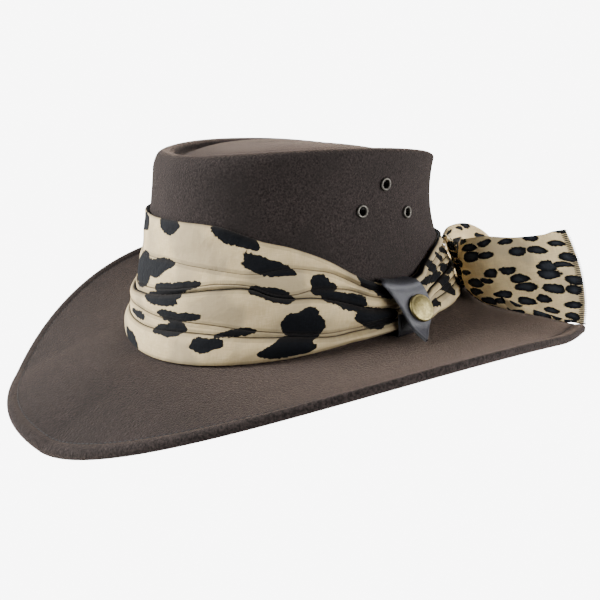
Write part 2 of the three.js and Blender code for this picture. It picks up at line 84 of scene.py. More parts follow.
def through(rows, count):
    """Smooth surface through rows of points (rows, columns, 3): cubics along
    each column, with the mean distance between rows as their parameter."""
    rows = np.asarray(rows, float)
    step = np.linalg.norm(np.diff(rows, axis=0), axis=-1).mean(axis=1)
    x = np.concatenate([[0], np.cumsum(np.maximum(step, 1e-6))])
    grid = cubic(x, np.moveaxis(rows, 0, -1), np.linspace(0, x[-1], count))
    return np.moveaxis(grid, -1, 0)


def mix(start, end, share):
    return start + (end - start) * share


def smooth(start, end, value):
    """Smooth step from 0 at start to 1 at end."""
    t = np.clip((value - start) / (end - start), 0, 1)
    return t * t * (3 - 2 * t)


def unit(vectors):
    return vectors / np.maximum(np.linalg.norm(vectors, axis=-1, keepdims=True), 1e-12)


def wrapped(angle):
    """The same direction, within half a turn of the front to either side."""
    return (angle + np.pi) % TURN - np.pi


def turned(angle):
    """Degrees from the front, 0 to 180 on both sides."""
    return np.abs(np.degrees(wrapped(angle)))


def travelled(points, axis=0):
    """Distance along points from the first of them, down an axis."""
    steps = np.linalg.norm(np.diff(points, axis=axis), axis=-1)
    return np.concatenate([0 * steps.take([0], axis), np.cumsum(steps, axis)], axis)


def ring(count):
    return np.arange(count) * TURN / count


# the felt body

# Thickness of the felt, and width and length of the head's opening, of the
# crown's foot outside and of its crest
FELT = 2.5
HEAD = (167, 201.4)
FOOT = (HEAD[0] + 2 * FELT, HEAD[1] + 2 * FELT)
CREST = (147.8, 165.6)

# The crown: its height, how square its ovals are, how far its crest lies back,
# the depth of its waist in front and at the back, where its wall gives way to
# the top, and the depth of the top's groove
CROWN_HEIGHT = 95.7
CROWN_SQUARENESS = 2.24
CREST_SHIFT = 1.6
WAIST = (2.4, 7.5)
WALL_SHARE = 0.915
GROOVE_DEPTH = 10

# The brim: height of its inner edge, width at the sides and at the ends, how far
# the sides roll up, the sine of the angle where that begins, and the fuller turn
# towards the back. The seam is the gap between pieces that touch.
FOOT_HEIGHT = 37.5
BRIM_SIDE, BRIM_END = 77.8, 71.3
BRIM_CURL = 51.6
BRIM_REST = 0.31
CORNER_LIFT = 5
SEAM = 0.3

# Telescoped top, from the widest line of the crest to the middle: inset as a
# share of the half width, drop as a share of the groove's depth
TOP = table("inset drop", [
    (0.008, 0.42), (0.03, 0.14), (0.065, 0.01), (0.105, 0.03), (0.14, 0.14), (0.165, 0.32),
    (0.19, 0.42), (0.22, 0.37), (0.28, 0.18), (0.4, -0.06), (0.66, -0.27), (1, -0.36),
])

# Section of the turned and stitched hem: distance in from the edge and height
# over the middle of the felt, from the upper face round to the lower
HEM = table("inside up", [
    (9.5, 1.25), (8, 1.25), (7, 1.24), (6.3, 1.15), (5.7, 1.28), (4.9, 1.65), (3.8, 2),
    (2.6, 2.2), (1.5, 2.15), (0.7, 1.8), (0.2, 1.2), (0, 0.5), (0, -0.8), (0.25, -1.8),
    (0.8, -2.4), (1.5, -2.6), (2.6, -2.6), (3.9, -2.6), (5.2, -2.1), (6.4, -1.5),
    (7.6, -1.27), (9.5, -1.25),
])

# Running stitch in the hem's groove: distance in from the edge and radius
STITCH_LINE, STITCH_RADIUS = 6.3, 0.26

# Eyelets of one side: degrees from the front and share of the crown's height;
# and the radius of their holes
EYELETS = ((89.4, 0.672), (109, 0.635), (97.6, 0.805))
HOLE_RADIUS = 2.8


def oval(width, length, squareness, angle):
    """Superellipse: each half axis times sine or cosine to the power 2 over the
    squareness, with its sign kept."""
    across, along = np.sin(angle), -np.cos(angle)
    power = 2 / squareness
    return (width / 2 * np.sign(across) * np.abs(across) ** power,
            length / 2 * np.sign(along) * np.abs(along) ** power)


def foot_at(angle):
    return FOOT_HEIGHT - 8.5 * np.cos(angle) - 1.5 * np.cos(2 * angle)


def crest_at(angle):
    return FOOT_HEIGHT + CROWN_HEIGHT + 2.7 * np.cos(angle) - 3.3 * np.cos(2 * angle)


def wall_point(angle, rise, out=0):
    """Outside of the crown at a share of its height: the oval goes evenly from
    foot to crest, less a waist that is deeper at the back, plus `out`."""
    angle, rise, out = np.broadcast_arrays(angle, rise, out)
    depth = mix(WAIST[0], WAIST[1], (1 - np.cos(angle)) / 2)
    waist = depth * np.sin(np.pi * np.clip(rise, 0, 1) ** 1.3)
    x, y = oval(mix(FOOT[0], CREST[0], rise) + 2 * (out - waist),
                mix(FOOT[1], CREST[1], rise) + 2 * (out - waist), CROWN_SQUARENESS, angle)
    z = mix(foot_at(angle), crest_at(angle), rise)
    return np.stack([x, y + CREST_SHIFT * rise, z], -1)


def top_point(angle, inset, drop):
    """Telescoped top: the crest's oval drawn in by the inset and lowered by the
    drop, level in the middle."""
    x, y = oval(CREST[0] * (1 - inset), CREST[1] * (1 - inset), CROWN_SQUARENESS, angle)
    z = mix(crest_at(angle), FOOT_HEIGHT + CROWN_HEIGHT, inset) - drop * GROOVE_DEPTH
    return np.stack([x, y + CREST_SHIFT, z + 0 * x], -1)


def edge_at(angle):
    """Height of the brim's edge: rolled up at the sides, with a fuller turn
    where the sides run into the back."""
    share = np.maximum(0, (np.abs(np.sin(angle)) - BRIM_REST) / (1 - BRIM_REST))
    corner = smooth(110, 128, turned(angle)) * (1 - smooth(138, 170, turned(angle)))
    return BRIM_CURL * share ** 1.46 + CORNER_LIFT * corner


def brim_point(angle, reach):
    """Upper face of the brim: from the crown's foot to the outer oval, the
    height following a power of the reach that curls up late at the sides."""
    angle, reach = np.broadcast_arrays(angle, reach)
    inner = oval(FOOT[0], FOOT[1], CROWN_SQUARENESS, angle)
    outer = oval(FOOT[0] + 2 * BRIM_SIDE, FOOT[1] + 2 * BRIM_END, 2.05 - 0.13 * np.cos(angle), angle)
    late = 1.3 + 0.8 * np.sin(angle) ** 2
    height = mix(foot_at(angle), edge_at(angle) + 2.6 + FELT / 2, np.maximum(reach, 0) ** late)
    return np.stack([mix(inner[0], outer[0], reach), mix(inner[1], outer[1], reach), height], -1)


def brim_width(angle):
    return np.linalg.norm(brim_point(angle, 1) - brim_point(angle, 0), axis=-1)


# meshes


def lattice(rows, columns, wrap_rows=False, wrap_columns=False, first=0):
    """Quads of a grid whose points are numbered row by row."""
    i = np.arange(rows if wrap_rows else rows - 1)[:, None]
    j = np.arange(columns if wrap_columns else columns - 1)[None]
    after, beside = (i + 1) % rows, (j + 1) % columns
    quads = np.stack([i * columns + j, i * columns + beside,
                      after * columns + beside, after * columns + j], -1)
    return quads.reshape(-1, 4) + first


def fan(row, pole, flip=False):
    """Triangles from a closed row of points to a pole."""
    beside = np.roll(row, -1)
    tips = np.full_like(row, pole)
    return np.stack([beside, row, tips] if flip else [row, beside, tips], -1)


def signed_volume(points, faces):
    total = 0
    for block in faces:
        for k in range(1, block.shape[1] - 1):
            a, b, c = points[block[:, 0]], points[block[:, k]], points[block[:, k + 1]]
            total += np.einsum("ij,ij->i", a, np.cross(b, c)).sum()
    return total


def build(name, points, faces, closed=True):
    """A linked object from millimetre points and blocks of faces, which are
    turned outwards where the mesh is closed."""
    if closed and signed_volume(points, faces) < 0:
        faces = [block[:, ::-1] for block in faces]
    mesh = bpy.data.meshes.new(name)
    mesh.from_pydata((points * MM).tolist(), [], [f for block in faces for f in block.tolist()])
    obj = bpy.data.objects.new(name, mesh)
    bpy.context.scene.collection.objects.link(obj)
    return obj


def make_piece(name, points, faces, finish, uv=None, values=None, closed=True):
    """A smooth piece with its finish, and with uv points and named values for
    each point of the mesh."""
    obj = build(name, np.asarray(points, float).reshape(-1, 3), faces, closed)
    mesh = obj.data
    mesh.polygons.foreach_set("use_smooth", np.ones(len(mesh.polygons), bool))
    if uv is not None:
        corner = np.empty(len(mesh.loops), np.int32)
        mesh.loops.foreach_get("vertex_index", corner)
        layer = mesh.uv_layers.new(name="cloth")
        layer.data.foreach_set("uv", np.asarray(uv, np.float32).reshape(-1, 2)[corner].ravel())
    for key, value in (values or {}).items():
        layer = mesh.attributes.new(key, "FLOAT", "POINT")
        layer.data.foreach_set("value", np.asarray(value, np.float32).ravel())
    mesh.update()
    mesh.materials.append(finish)
    return obj


def settle(obj):
    """Applies an object's modifiers to its mesh."""
    bpy.context.view_layer.update()
    mesh = bpy.data.meshes.new_from_object(obj.evaluated_get(bpy.context.evaluated_depsgraph_get()))
    obj.modifiers.clear()
    obj.data = mesh


def stand_for(obj, slot, *nodes):
    """A piece that moves with the hat and replaces the frame's own nodes."""
    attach(obj, "root")
    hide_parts(*nodes)


def lathe(profile, count):
    """Profile of (radius, height) points turned round the Y axis."""
    profile = np.asarray(profile, float)
    angle = ring(count)
    radius, height = profile[:, 0, None], profile[:, 1, None]
    return np.stack([radius * np.cos(angle), height + 0 * angle, radius * np.sin(angle)], -1)


def seat(points, origin, out, up):
    """Places points of a lathe: their Y axis along `out`, their Z nearest `up`."""
    out = unit(out)
    side = unit(np.cross(out, up))
    return origin + points[..., :1] * side + points[..., 1:2] * out + points[..., 2:] * np.cross(side, out)


# materials


def linear(code, shade=1.0):
    """Linear colour of an sRGB hex value, times a shade."""
    parts = np.array([int(code[i:i + 2], 16) for i in (1, 3, 5)]) / 255
    parts = np.where(parts <= 0.04045, parts / 12.92, ((parts + 0.055) / 1.055) ** 2.4)
    return (*np.minimum(parts * shade, 1).tolist(), 1)


def shaded(colour, red, green, blue):
    """A colour with its parts made lighter or darker."""
    return (*np.minimum(np.array(colour[:3]) * [red, green, blue], 1).tolist(), 1)


def fill(tree, node, inputs):
    """Fills a node's inputs with values or with other nodes' outputs."""
    for socket, value in inputs.items():
        if isinstance(value, bpy.types.NodeSocket):
            tree.links.new(value, node.inputs[socket])
        else:
            node.inputs[socket].default_value = value


def add_node(tree, kind, inputs=None, give=0, **settings):
    """Adds a node with its settings and inputs and gives one of its outputs."""
    node = tree.nodes.new(kind)
    for name, value in settings.items():
        setattr(node, name, value)
    fill(tree, node, inputs or {})
    return node.outputs[give]


def tinted(tree, body, colour, mask, start, end, most=1.0):
    """A colour laid over a body's: none of it where the mask is at the start and
    the most where it is at the end."""
    share = add_node(tree, "ShaderNodeMapRange", {0: mask, 1: start, 2: end, 4: most})
    return add_node(tree, "ShaderNodeMix", {0: share, 6: body, 7: colour}, give=2, data_type="RGBA")


def new_finish(name):
    """An empty material: its node tree and its Principled shader."""
    finish = bpy.data.materials.new(name)
    finish.use_nodes = True
    return finish, finish.node_tree, finish.node_tree.nodes["Principled BSDF"]


# the scarf

# How far the scarf's folds stand out at most and how thick its hem is; the
# knot's place (degrees), width, bulk and gap; the thickness of the keepers'
# leather, their place and width (degrees), and how far the flap's point reaches
# out and how high it stands over the brim
SCARF_BULK = 10
SCARF_HEM = 0.9
KNOT_ANGLE, KNOT_WIDTH, KNOT_BULK, KNOT_GAP = 147, 24, 6.5, 0.2
STRAP = 1.8
KEEPER_ANGLE, KEEPER_WIDTH = 97.3, 14.5
TIP_REACH, TIP_HEIGHT = 13, 2

# The scarf from the front round to the back, both sides alike: its edges as
# shares of the crown's height, and its bulk below and above as shares of the most
SCARF = table("angle lift top low high", [
    (0, 0.006, 0.69, 0.2, 0.08), (18, 0.006, 0.69, 0.2, 0.08), (38, 0.006, 0.666, 0.26, 0.12),
    (55, 0.008, 0.583, 0.38, 0.26), (66, 0.01, 0.535, 0.5, 0.42), (77, 0.02, 0.455, 0.62, 0.58),
    (90, 0.034, 0.312, 0.7, 0.65), (98, 0.034, 0.272, 0.7, 0.63),
    (107, 0.034, 0.295, 0.7, 0.6), (123, 0.02, 0.395, 0.5, 0.4),
    (142, 0.01, 0.425, 0.32, 0.25), (180, 0.01, 0.46, 0.32, 0.25),
])

# Fold lines all the way round, as shares of the scarf's height
FOLDS = table("angle pleat_low pleat_high middle lens crease", [
    (-180, 0.2, 0.28, 0.5, 0.56, 0.8), (-150, 0.22, 0.27, 0.46, 0.55, 0.78),
    (-125, 0.2, 0.3, 0.5, 0.6, 0.8), (-104, 0.22, 0.34, 0.5, 0.66, 0.82),
    (-90, 0.2, 0.32, 0.5, 0.68, 0.82), (-75, 0.17, 0.27, 0.5, 0.62, 0.82),
    (-60, 0.17, 0.26, 0.46, 0.56, 0.78), (-40, 0.18, 0.27, 0.4, 0.46, 0.72),
    (-16, 0.19, 0.27, 0.36, 0.42, 0.68), (2, 0.2, 0.3, 0.42, 0.47, 0.7),
    (14, 0.21, 0.305, 0.46, 0.5, 0.71), (29, 0.23, 0.305, 0.515, 0.55, 0.695),
    (41, 0.228, 0.295, 0.56, 0.6, 0.69), (52, 0.215, 0.272, 0.6, 0.625, 0.72),
    (60, 0.205, 0.25, 0.55, 0.575, 0.78), (66, 0.195, 0.225, 0.54, 0.575, 0.82),
    (72, 0.165, 0.2, 0.56, 0.64, 0.84), (78, 0.135, 0.18, 0.555, 0.69, 0.87),
    (84, 0.15, 0.2, 0.535, 0.74, 0.87), (90, 0.2, 0.27, 0.49, 0.72, 0.84),
    (97, 0.24, 0.34, 0.46, 0.7, 0.83), (107, 0.25, 0.36, 0.52, 0.68, 0.84),
    (123, 0.24, 0.34, 0.52, 0.7, 0.85), (142, 0.22, 0.32, 0.5, 0.66, 0.82),
    (160, 0.2, 0.3, 0.5, 0.6, 0.8), (180, 0.2, 0.28, 0.5, 0.56, 0.8),
])

# The rolls of cloth between the folds, from the bottom up: radius of their lower
# and upper edges and how full they are, in front and at the keepers (mm), and
# their rows of points; how far a roll laps over the next and how deep the
# crevice under it is
ROLLS = table("low high full low_gathered high_gathered full_gathered rows", [
    (0.9, 1.0, 1.1, 1.6, 1.2, 2.0, 16),
    (0.5, 0.7, 0.2, 0.7, 0.7, 0.5, 8),
    (0.5, 1.5, 0.5, 0.9, 1.6, 2.0, 18),
    (0.0, 0.7, 0.1, 0.5, 0.9, 0.8, 9),
    (0.3, 0.3, 0.3, 1.6, 0.9, 1.8, 13),
    (0.3, 0.7, 0.3, 0.7, 1.3, 1.6, 14),
])
LAP, CREVICE = 1.6, 0.35

# Printed blots on the side and front of the scarf, in mm and degrees: distance
# along the crown's foot from the front, height, half length, half width and tilt
BLOTS = table("arc height long wide tilt", [
    (-17, 66, 12, 5, 8), (-12, 40, 22, 9, 12), (12, 46, 19, 5, 8), (1, 18, 12, 2, 5),
    (-2, 2, 12, 6, -8), (23, 69, 11, 4, 0), (34, 38, 19, 3, 6), (27, 32, 17, 4, 4),
    (40, 24, 15, 3, 0), (37, 17, 12, 4, 8), (44, -4, 15, 3, 0), (61, 11, 9, 4, 0),
    (76, 16, 11, 2, 3), (71, 64, 16, 5, -22), (90, 47, 17, 4, -20), (94, 33, 13, 3, -18),
    (103, 6, 14, 5, 5), (111, 16, 11, 8, -10), (121, 32, 8, 5, -25), (134, 22, 13, 4, -20),
    (147, 29, 6, 4, -50), (156, 22, 10, 3, -22), (150, 10, 14, 5, -10), (200, 19, 14, 3, -3),
    (214, 12, 11, 5, -20), (223, 20, 12, 3, -8), (201, 25, 8, 4, -35), (196, 6, 4, 2, 0),
    (216, 28, 8, 2, -25), (234, 28, 17, 2, -17), (215, 14, 5, 3, 20),
])


def arc_lengths():
    """Angles and the distances along the foot's oval that belong to them."""
    angle = np.linspace(-np.pi, np.pi, 7201)
    length = travelled(np.stack(oval(FOOT[0], FOOT[1], CROWN_SQUARENESS, angle), -1))
    return angle, length - length[len(angle) // 2]


ARC_ANGLE, ARC_LENGTH = arc_lengths()


def arc_at(angle):
    """Distance along the crown's foot from the front, positive to the wearer's left."""
    return np.interp(wrapped(angle), ARC_ANGLE, ARC_LENGTH)


def scarf_at(angle, column):
    return look_up(SCARF, "angle", column, turned(angle))


def scarf_height(angle):
    return (scarf_at(angle, "top") - scarf_at(angle, "lift")) * (crest_at(angle) - foot_at(angle))


def scarf_gap(angle):
    away = np.abs(turned(angle) - KEEPER_ANGLE) / KEEPER_WIDTH
    return SEAM + np.clip(3 - 3 * away, 0, 1) * (STRAP + SEAM)


def scarf_point(angle, share, out):
    """Point of the scarf at a share of its height, `out` from the crown."""
    rise = mix(scarf_at(angle, "lift"), scarf_at(angle, "top"), share)
    return wall_point(angle, rise, out) + [0, 0, SEAM]


def scarf_bulk(angle, share):
    return SCARF_BULK * mix(scarf_at(angle, "low"), scarf_at(angle, "high"), share)


def scarf_face(angle):
    """How far the scarf stands out from the crown at its fullest."""
    shares = np.linspace(0, 1, 15)[:, None]
    return scarf_gap(angle) + SCARF_HEM + 0.96 * scarf_bulk(angle, shares).max(axis=0)


def gathered(angle):
    """How tightly the scarf is gathered: 0 in front and 1 at a keeper."""
    return np.exp(-((turned(angle) - KEEPER_ANGLE) / 24.0) ** 2)


def ripples(angle, height, seed, count, longest, shortest):
    """Sum of a few sine waves of random direction and phase, about 1 high."""
    rng = np.random.RandomState(seed)
    total = 0
    for length in np.geomspace(longest, shortest, count):
        lean, phase = rng.uniform(-0.5, 0.5), rng.uniform(0, TURN)
        wave = np.sin(TURN * (height + lean * arc_at(angle)) / length + phase)
        total = total + wave * (length / longest) ** 0.5
    return total / count ** 0.5


def scarf_rows(angle):
    """Section of the scarf at each angle as (height, out) points. A roll is a half
    round at its lower edge, a pillow and a half round at its upper edge, which
    turns under, so that the roll laps over the cloth of the next one. The third
    result is how open each point lies, from 0 deep in a fold to 1; the cloth's colour is darkened by it as
    painted shade."""
    high = scarf_height(angle)
    tight = gathered(angle)
    degrees = np.degrees(wrapped(angle))
    lines = [look_up(FOLDS, "angle", name, degrees) for name in FOLDS if name != "angle"]
    folds = [0 * angle, *lines, 1 + 0 * angle]
    around = np.linspace(-np.pi / 2, np.pi / 2, 6)[:, None]
    heights, outs, opens = [], [], []
    for k in range(6):
        start, end = folds[k] * high, folds[k + 1] * high
        row = {name: column[k] for name, column in ROLLS.items()}
        room = np.maximum(end - start, 0.4)
        low = np.minimum(mix(row["low"], row["low_gathered"], tight), 0.4 * room)
        top = np.minimum(mix(row["high"], row["high_gathered"], tight), 0.4 * room)
        full = mix(row["full"], row["full_gathered"], tight) * np.minimum(1, room / 8)
        inner = scarf_gap(angle) + 0.4 + 0.3 * scarf_bulk(angle, (start + end) / 2 / high)
        u = np.linspace(0, 1, int(row["rows"]))[1:-1, None]
        y = mix(start + low, end - top, u)
        pillow = inner + 2 * mix(low, top, u) + full * np.sin(np.pi * u) ** 0.8
        heights += [start + low - low * np.cos(around), y, end - top + top * np.cos(around)]
        outs += [inner + low + low * np.sin(around), pillow, inner + top - top * np.sin(around)]
        rim = 0.3 * (1 + np.sin(around)) + 0 * y[:1]
        opens += [rim, np.clip(np.minimum(y - start, end - y) / 3, 0.6, 1), rim[::-1]]
        if k < 5:
            lap = np.minimum(LAP if k < 4 else 0.4 * LAP, 0.3 * room)
            heights += [(end - top - lap)[None], (end - top - lap)[None]]
            outs += [inner[None], (inner - CREVICE)[None]]
            opens += [0 * inner[None], 0 * inner[None]]
    return np.concatenate(heights), np.concatenate(outs), np.concatenate(opens)


def scarf_band_points(count):
    """The scarf's section all the way round, with soft ripples, creases that run
    to the keepers and fine gathers beside the knot."""
    angle = ring(count) - np.pi
    y, out, opened = scarf_rows(angle)
    tight = gathered(angle)
    high = scarf_height(angle)
    share = y / high
    open_cloth = np.clip((share - 0.03) / 0.1, 0, 1)
    out = out + 0.55 * ripples(angle, y, 5, 5, 55, 13) * mix(1, 0.4, tight) * open_cloth
    pulls = np.exp(-((turned(angle) - KEEPER_ANGLE) / 13.0) ** 2)
    out = out + 0.5 * pulls * np.sin(TURN * (share * 8 + 0.5 * np.sin(5 * angle) + 0.2))
    knot = np.exp(-((np.degrees(wrapped(angle)) - KNOT_ANGLE) / 17.0) ** 2)
    out = out + knot * (0.55 * np.sin(TURN * (share * 9 + 1.2 * np.sin(3 * angle)))
                        + 0.3 * np.sin(TURN * (share * 17 + 2 * np.sin(4 * angle))))
    back = np.array([0.985, 0.75, 0.5, 0.25, 0.015])[:, None]
    out = np.maximum(out, scarf_gap(angle) + 0.15)
    out = np.concatenate([out, scarf_gap(angle) + 0 * back])
    y = np.concatenate([y, back * high])
    opened = np.concatenate([opened, 0.5 + 0 * back * high])
    points = scarf_point(angle[None], y / high, out)
    return angle, y, points, opened


def all_blots():
    """Rows of the listed blots and of seeded ones strewn over the rest of the
    scarf: arc, height, half length, half width, tilt."""
    rows = list(zip(*BLOTS.values()))
    rng = np.random.RandomState(11)
    for arc in np.concatenate([np.arange(-300, -42, 30), np.arange(256, 304, 28)]):
        for height in np.arange(5, 84, 17):
            place = (arc + rng.uniform(-9, 9), height + rng.uniform(-4, 4))
            rows.append((*place, rng.uniform(9, 15), rng.uniform(3.5, 6), rng.uniform(-20, 20)))
    return rows


def blot_distance(arc, height):
    """Distance in mm outside the nearest blot. A blot is an ellipse whose radius
    swells and shrinks in two, three and five waves round it, and the distance is
    the scaled radius less the wavy one, over the scaled radius's slope."""
    rng = np.random.RandomState(4)
    nearest = np.full(arc.shape, 20.0)
    for centre, level, long, wide, tilt in all_blots():
        phases = rng.uniform(0, TURN, 3)
        columns = np.abs(arc[0] - centre) < long + 6
        if not columns.any():
            continue
        east, north = arc[:, columns] - centre, height[:, columns] - level
        cosine, sine = np.cos(np.radians(tilt)), np.sin(np.radians(tilt))
        x, y = (east * cosine + north * sine) / long, (north * cosine - east * sine) / wide
        radius, around = np.hypot(x, y) + 1e-6, np.arctan2(y, x)
        wavy = 1 + 0.08 * np.sin(2 * around + phases[0]) + 0.11 * np.sin(3 * around + phases[1])
        wavy = wavy + 0.06 * np.sin(5 * around + phases[2])
        slope = np.hypot(x / long, y / wide) / radius
        nearest[:, columns] = np.minimum(nearest[:, columns], (radius - wavy) / slope)
    return nearest


# Loose ends, from the knot outwards: the angle and reach of their lower edge on
# the brim, the height of the cloth and how far its top and its middle hang back
# as shares of the end's height, and the lip that turns up in front and how far
# the fold behind it sags back (mm)
NEAR_TAIL = table("along angle reach height lean bow lip trough", [
    (0, 154, 0.135, 0.58, 0.2, 0, 8, 2), (0.2, 145, 0.17, 0.65, 0.24, 0, 10, 4),
    (0.4, 133, 0.24, 0.7, 0.3, 0.07, 10, 6), (0.6, 128.3, 0.44, 0.79, 0.34, 0.1, 6, 3.5),
    (0.8, 127.9, 0.69, 0.83, 0.34, 0.03, 2.5, 1.2), (1, 128.5, 0.985, 0.986, 0.3, -0.08, 0.8, 0),
])
FAR_TAIL = table("along angle reach height lean bow lip trough", [
    (0, 163.5, 0.125, 0.62, 0.28, 0, 6, 1), (0.2, 164, 0.2, 0.8, 0.28, 0.02, 6, 3),
    (0.4, 164.5, 0.32, 0.93, 0.2, 0.1, 5, 4), (0.6, 165.5, 0.48, 0.95, 0.14, 0.14, 3, 3),
    (0.8, 167.5, 0.66, 0.9, 0.12, 0.1, 2, 1), (1, 170, 0.84, 0.86, 0.1, 0.04, 1, 0),
])

# The ends' heights, the direction they lean to (degrees), their lift off the
# brim, their cloth's thickness and the spacing and radius of their overlock
NEAR_HEIGHT, FAR_HEIGHT = 52, 46
TAIL_LEAN, TAIL_LIFT, TAIL_CLOTH = 290, 0.7, 0.9
OVERLOCK_STEP, OVERLOCK_RADIUS = 1.1, 0.28


def tail_surface(rows, height, across, count):
    """Loose end of the scarf as a grid from the knot outwards and from the lip
    over the fold on the brim up to the top edge. Its section runs through a few
    points: the lip, the fold, and the hanging cloth, whose distance back is the
    lean times the height plus a bow that is greatest at half height. The fold
    comes down to the brim towards the outer end and steps up over the hem."""
    along = np.linspace(0, 1, across)
    at = {name: look_up(rows, "along", name, along) for name in rows if name != "along"}
    back = np.array([np.sin(np.radians(TAIL_LEAN)), -np.cos(np.radians(TAIL_LEAN)), 0])
    foot = brim_point(np.radians(at["angle"]), at["reach"])
    over_hem = smooth(0.85, 0.91, at["reach"])
    foot[:, 2] += SEAM + TAIL_LIFT + over_hem - TAIL_LIFT * smooth(0.8, 0.95, along)
    controls = []
    for share, forward in ((1, 1.2), (0.5, 1.6), (0.12, 0.6)):
        raised = np.outer(at["lip"] * share, [0, 0, 1])
        ahead = np.outer(forward * np.minimum(1, at["lip"] / 4), back)
        controls.append(foot + raised - ahead)
    for up in (0.03, 0.13, 0.28, 0.46, 0.64, 0.82, 1):
        aside = height * (at["lean"] * up + at["bow"] * 4 * up * (1 - up))
        aside = aside + at["trough"] * smooth(-0.02, 0.16, up) * (1 - up) ** 0.5
        controls.append(foot + np.outer(height * at["height"] * up, [0, 0, 1]) + aside[:, None] * back)
    grid = through(controls, count)
    return np.swapaxes(grid, 0, 1), along


def normals_of(grid):
    """Unit normals of a grid of points from the differences along both ways."""
    return unit(np.cross(np.gradient(grid, axis=0), np.gradient(grid, axis=1)))


def cloth_uv(grid):
    """Metres along a grid of millimetre points, both ways."""
    u = travelled(grid).mean(axis=1, keepdims=True) + 0 * grid[..., 0]
    return np.stack([u, travelled(grid, axis=1)], -1) * MM


def keeper_angle(across):
    return np.radians(KEEPER_ANGLE + KEEPER_WIDTH * (across - 0.5))


# Keeper's loop round the scarf: shares of the way out to the scarf's face and up
# it, and its near and far edges as shares of the keeper's width
LOOP = table("out up near far", [
    (1, 0.4, 0.22, 0.7), (1, 0.1, 0.2, 0.68), (0.86, 0, 0.2, 0.68), (0.12, 0, 0.2, 0.68),
    (0, 0.06, 0.2, 0.68), (0, 0.5, 0.2, 0.7), (0, 0.94, 0.18, 0.74), (0.12, 1, 0.14, 0.76),
    (0.84, 1, 0.04, 0.81),
])

# Keeper's flap from its fold to its point: shares of the way down and of the
# point's reach, and its near and far edges as above
FLAP = table("down out near far", [
    (0, 0, 0, 0.83), (0.12, 0, 0.065, 0.86), (0.38, 0.18, 0.165, 0.85), (0.6, 0.34, 0.205, 0.77),
    (0.83, 0.54, 0.255, 0.58), (1, 1, 0.3, 0.35),
])

# Snap cap: its middle as shares of the flap's width and length, and its section
# from the foot over the rim and a fine groove to the dome, as shares of its
# radius and heights
CAP_ACROSS, CAP_DOWN, CAP_DIAMETER = 0.54, 0.47, 15
CAP = table("share up", [
    (0.00133, 0), (0.92, 0), (0.985, 0.12), (1, 0.4), (1, 1.1), (0.985, 1.45), (0.95, 1.72),
    (0.9, 1.86), (0.86, 1.84), (0.83, 1.9), (0.7, 2.25), (0.5, 2.6), (0.25, 2.85), (0.00133, 2.95),
])


def strap_point(across, out, height):
    angle = keeper_angle(across)
    return wall_point(angle, height / (crest_at(angle) - foot_at(angle)), out)


def loop_point(across, out, up, near, far):
    """Middle of the leather in the loop: over the scarf's face, under it, up
    behind it and over its top."""
    place = mix(near, far, across)
    angle = keeper_angle(place)
    half = STRAP / 2 + SEAM
    bottom = scarf_point(angle, 0, 0)[..., 2] - foot_at(angle) - half
    top = scarf_point(angle, 1, 0)[..., 2] - foot_at(angle) + half
    return strap_point(place, mix(half, scarf_face(angle) + half, out), mix(bottom, top, up))


def flap_point(across, down):
    """Middle of the leather in the flap, from its fold to its point over the brim."""
    across, down = np.broadcast_arrays(np.asarray(across, float), np.asarray(down, float))
    place = mix(look_up(FLAP, "down", "near", down), look_up(FLAP, "down", "far", down), across)
    angle = keeper_angle(place)
    layer = (STRAP + SEAM) * smooth(-0.05, 0.18, down)
    face = scarf_face(angle.ravel()).reshape(angle.shape) + STRAP / 2 + SEAM + layer
    out = face + TIP_REACH * look_up(FLAP, "down", "out", down)
    top = scarf_point(angle, 1, 0)[..., 2]
    tip_angle = keeper_angle(np.full(place.shape, FLAP["near"][-1]))
    tip = brim_point(tip_angle, (face + TIP_REACH) / brim_width(tip_angle))[..., 2] + TIP_HEIGHT
    return strap_point(place, out, mix(top, tip, down) - foot_at(angle))


def keeper_points(stations, width):
    """Keeper as a closed strap: its middle surface runs through the loop and the
    flap, and its section is a rounded bar with a crease beside each edge. The
    second result is the distance in from the edge, which darkens the cut edges;
    it is kept small all over the loop, so that the loop under the flap is
    painted dark as well: painted shade."""
    across = np.linspace(0, 1, width)
    rows = [loop_point(across, *row) for row in zip(*LOOP.values())]
    fold = len(rows)
    rows += [flap_point(across, down) for down in np.linspace(0, 1, 15)]
    middle = through(rows, stations)
    normal = normals_of(middle)
    place = travelled(middle, axis=1)
    inside = np.minimum(place, place[:, -1:] - place)
    rounding = np.sqrt(1 - (1 - np.clip(inside / 0.7, 0, 1)) ** 2)
    crease = 0.16 * np.exp(-((inside - 2.0) / 0.35) ** 2)
    half = (STRAP / 2 * rounding - crease)[..., None]
    section = np.concatenate([middle + normal * half, (middle - normal * half)[:, ::-1]], axis=1)
    half_way = width // 2
    flap_start = np.argmin(np.linalg.norm(middle[:, half_way] - rows[fold][half_way], axis=-1))
    # Painted shade: the loop under the flap is darkened like the cut edges.
    inside[:flap_start] = np.minimum(inside[:flap_start], 0.45)
    edge = np.concatenate([inside, inside[:, ::-1]], axis=1)
    return section, edge


# finishes

LENGTH = {"subtype": "DISTANCE", "unit": "LENGTH", "precision": 4}
COLOUR = {"subtype": "COLOR", "size": 4, "min": 0, "max": 1}


class BushHatSizes(bpy.types.PropertyGroup):
    """Sizes of the finishes, in metres."""
    nap: bpy.props.FloatProperty(
        name="Nap", description="Width of the tufts in the felt's nap",
        default=0.001, min=0.0003, max=0.003, **LENGTH)
    thread: bpy.props.FloatProperty(
        name="Thread spacing", description="Spacing of the scarf's threads as drawn",
        default=0.0005, min=0.0003, max=0.002, **LENGTH)
    grain: bpy.props.FloatProperty(
        name="Leather grain", description="Width of the leather's pebbles",
        default=0.0006, min=0.0003, max=0.002, **LENGTH)
    stitch: bpy.props.FloatProperty(
        name="Stitch length", description="Length of a stitch in the brim's hem",
        default=0.003, min=0.002, max=0.006, **LENGTH)


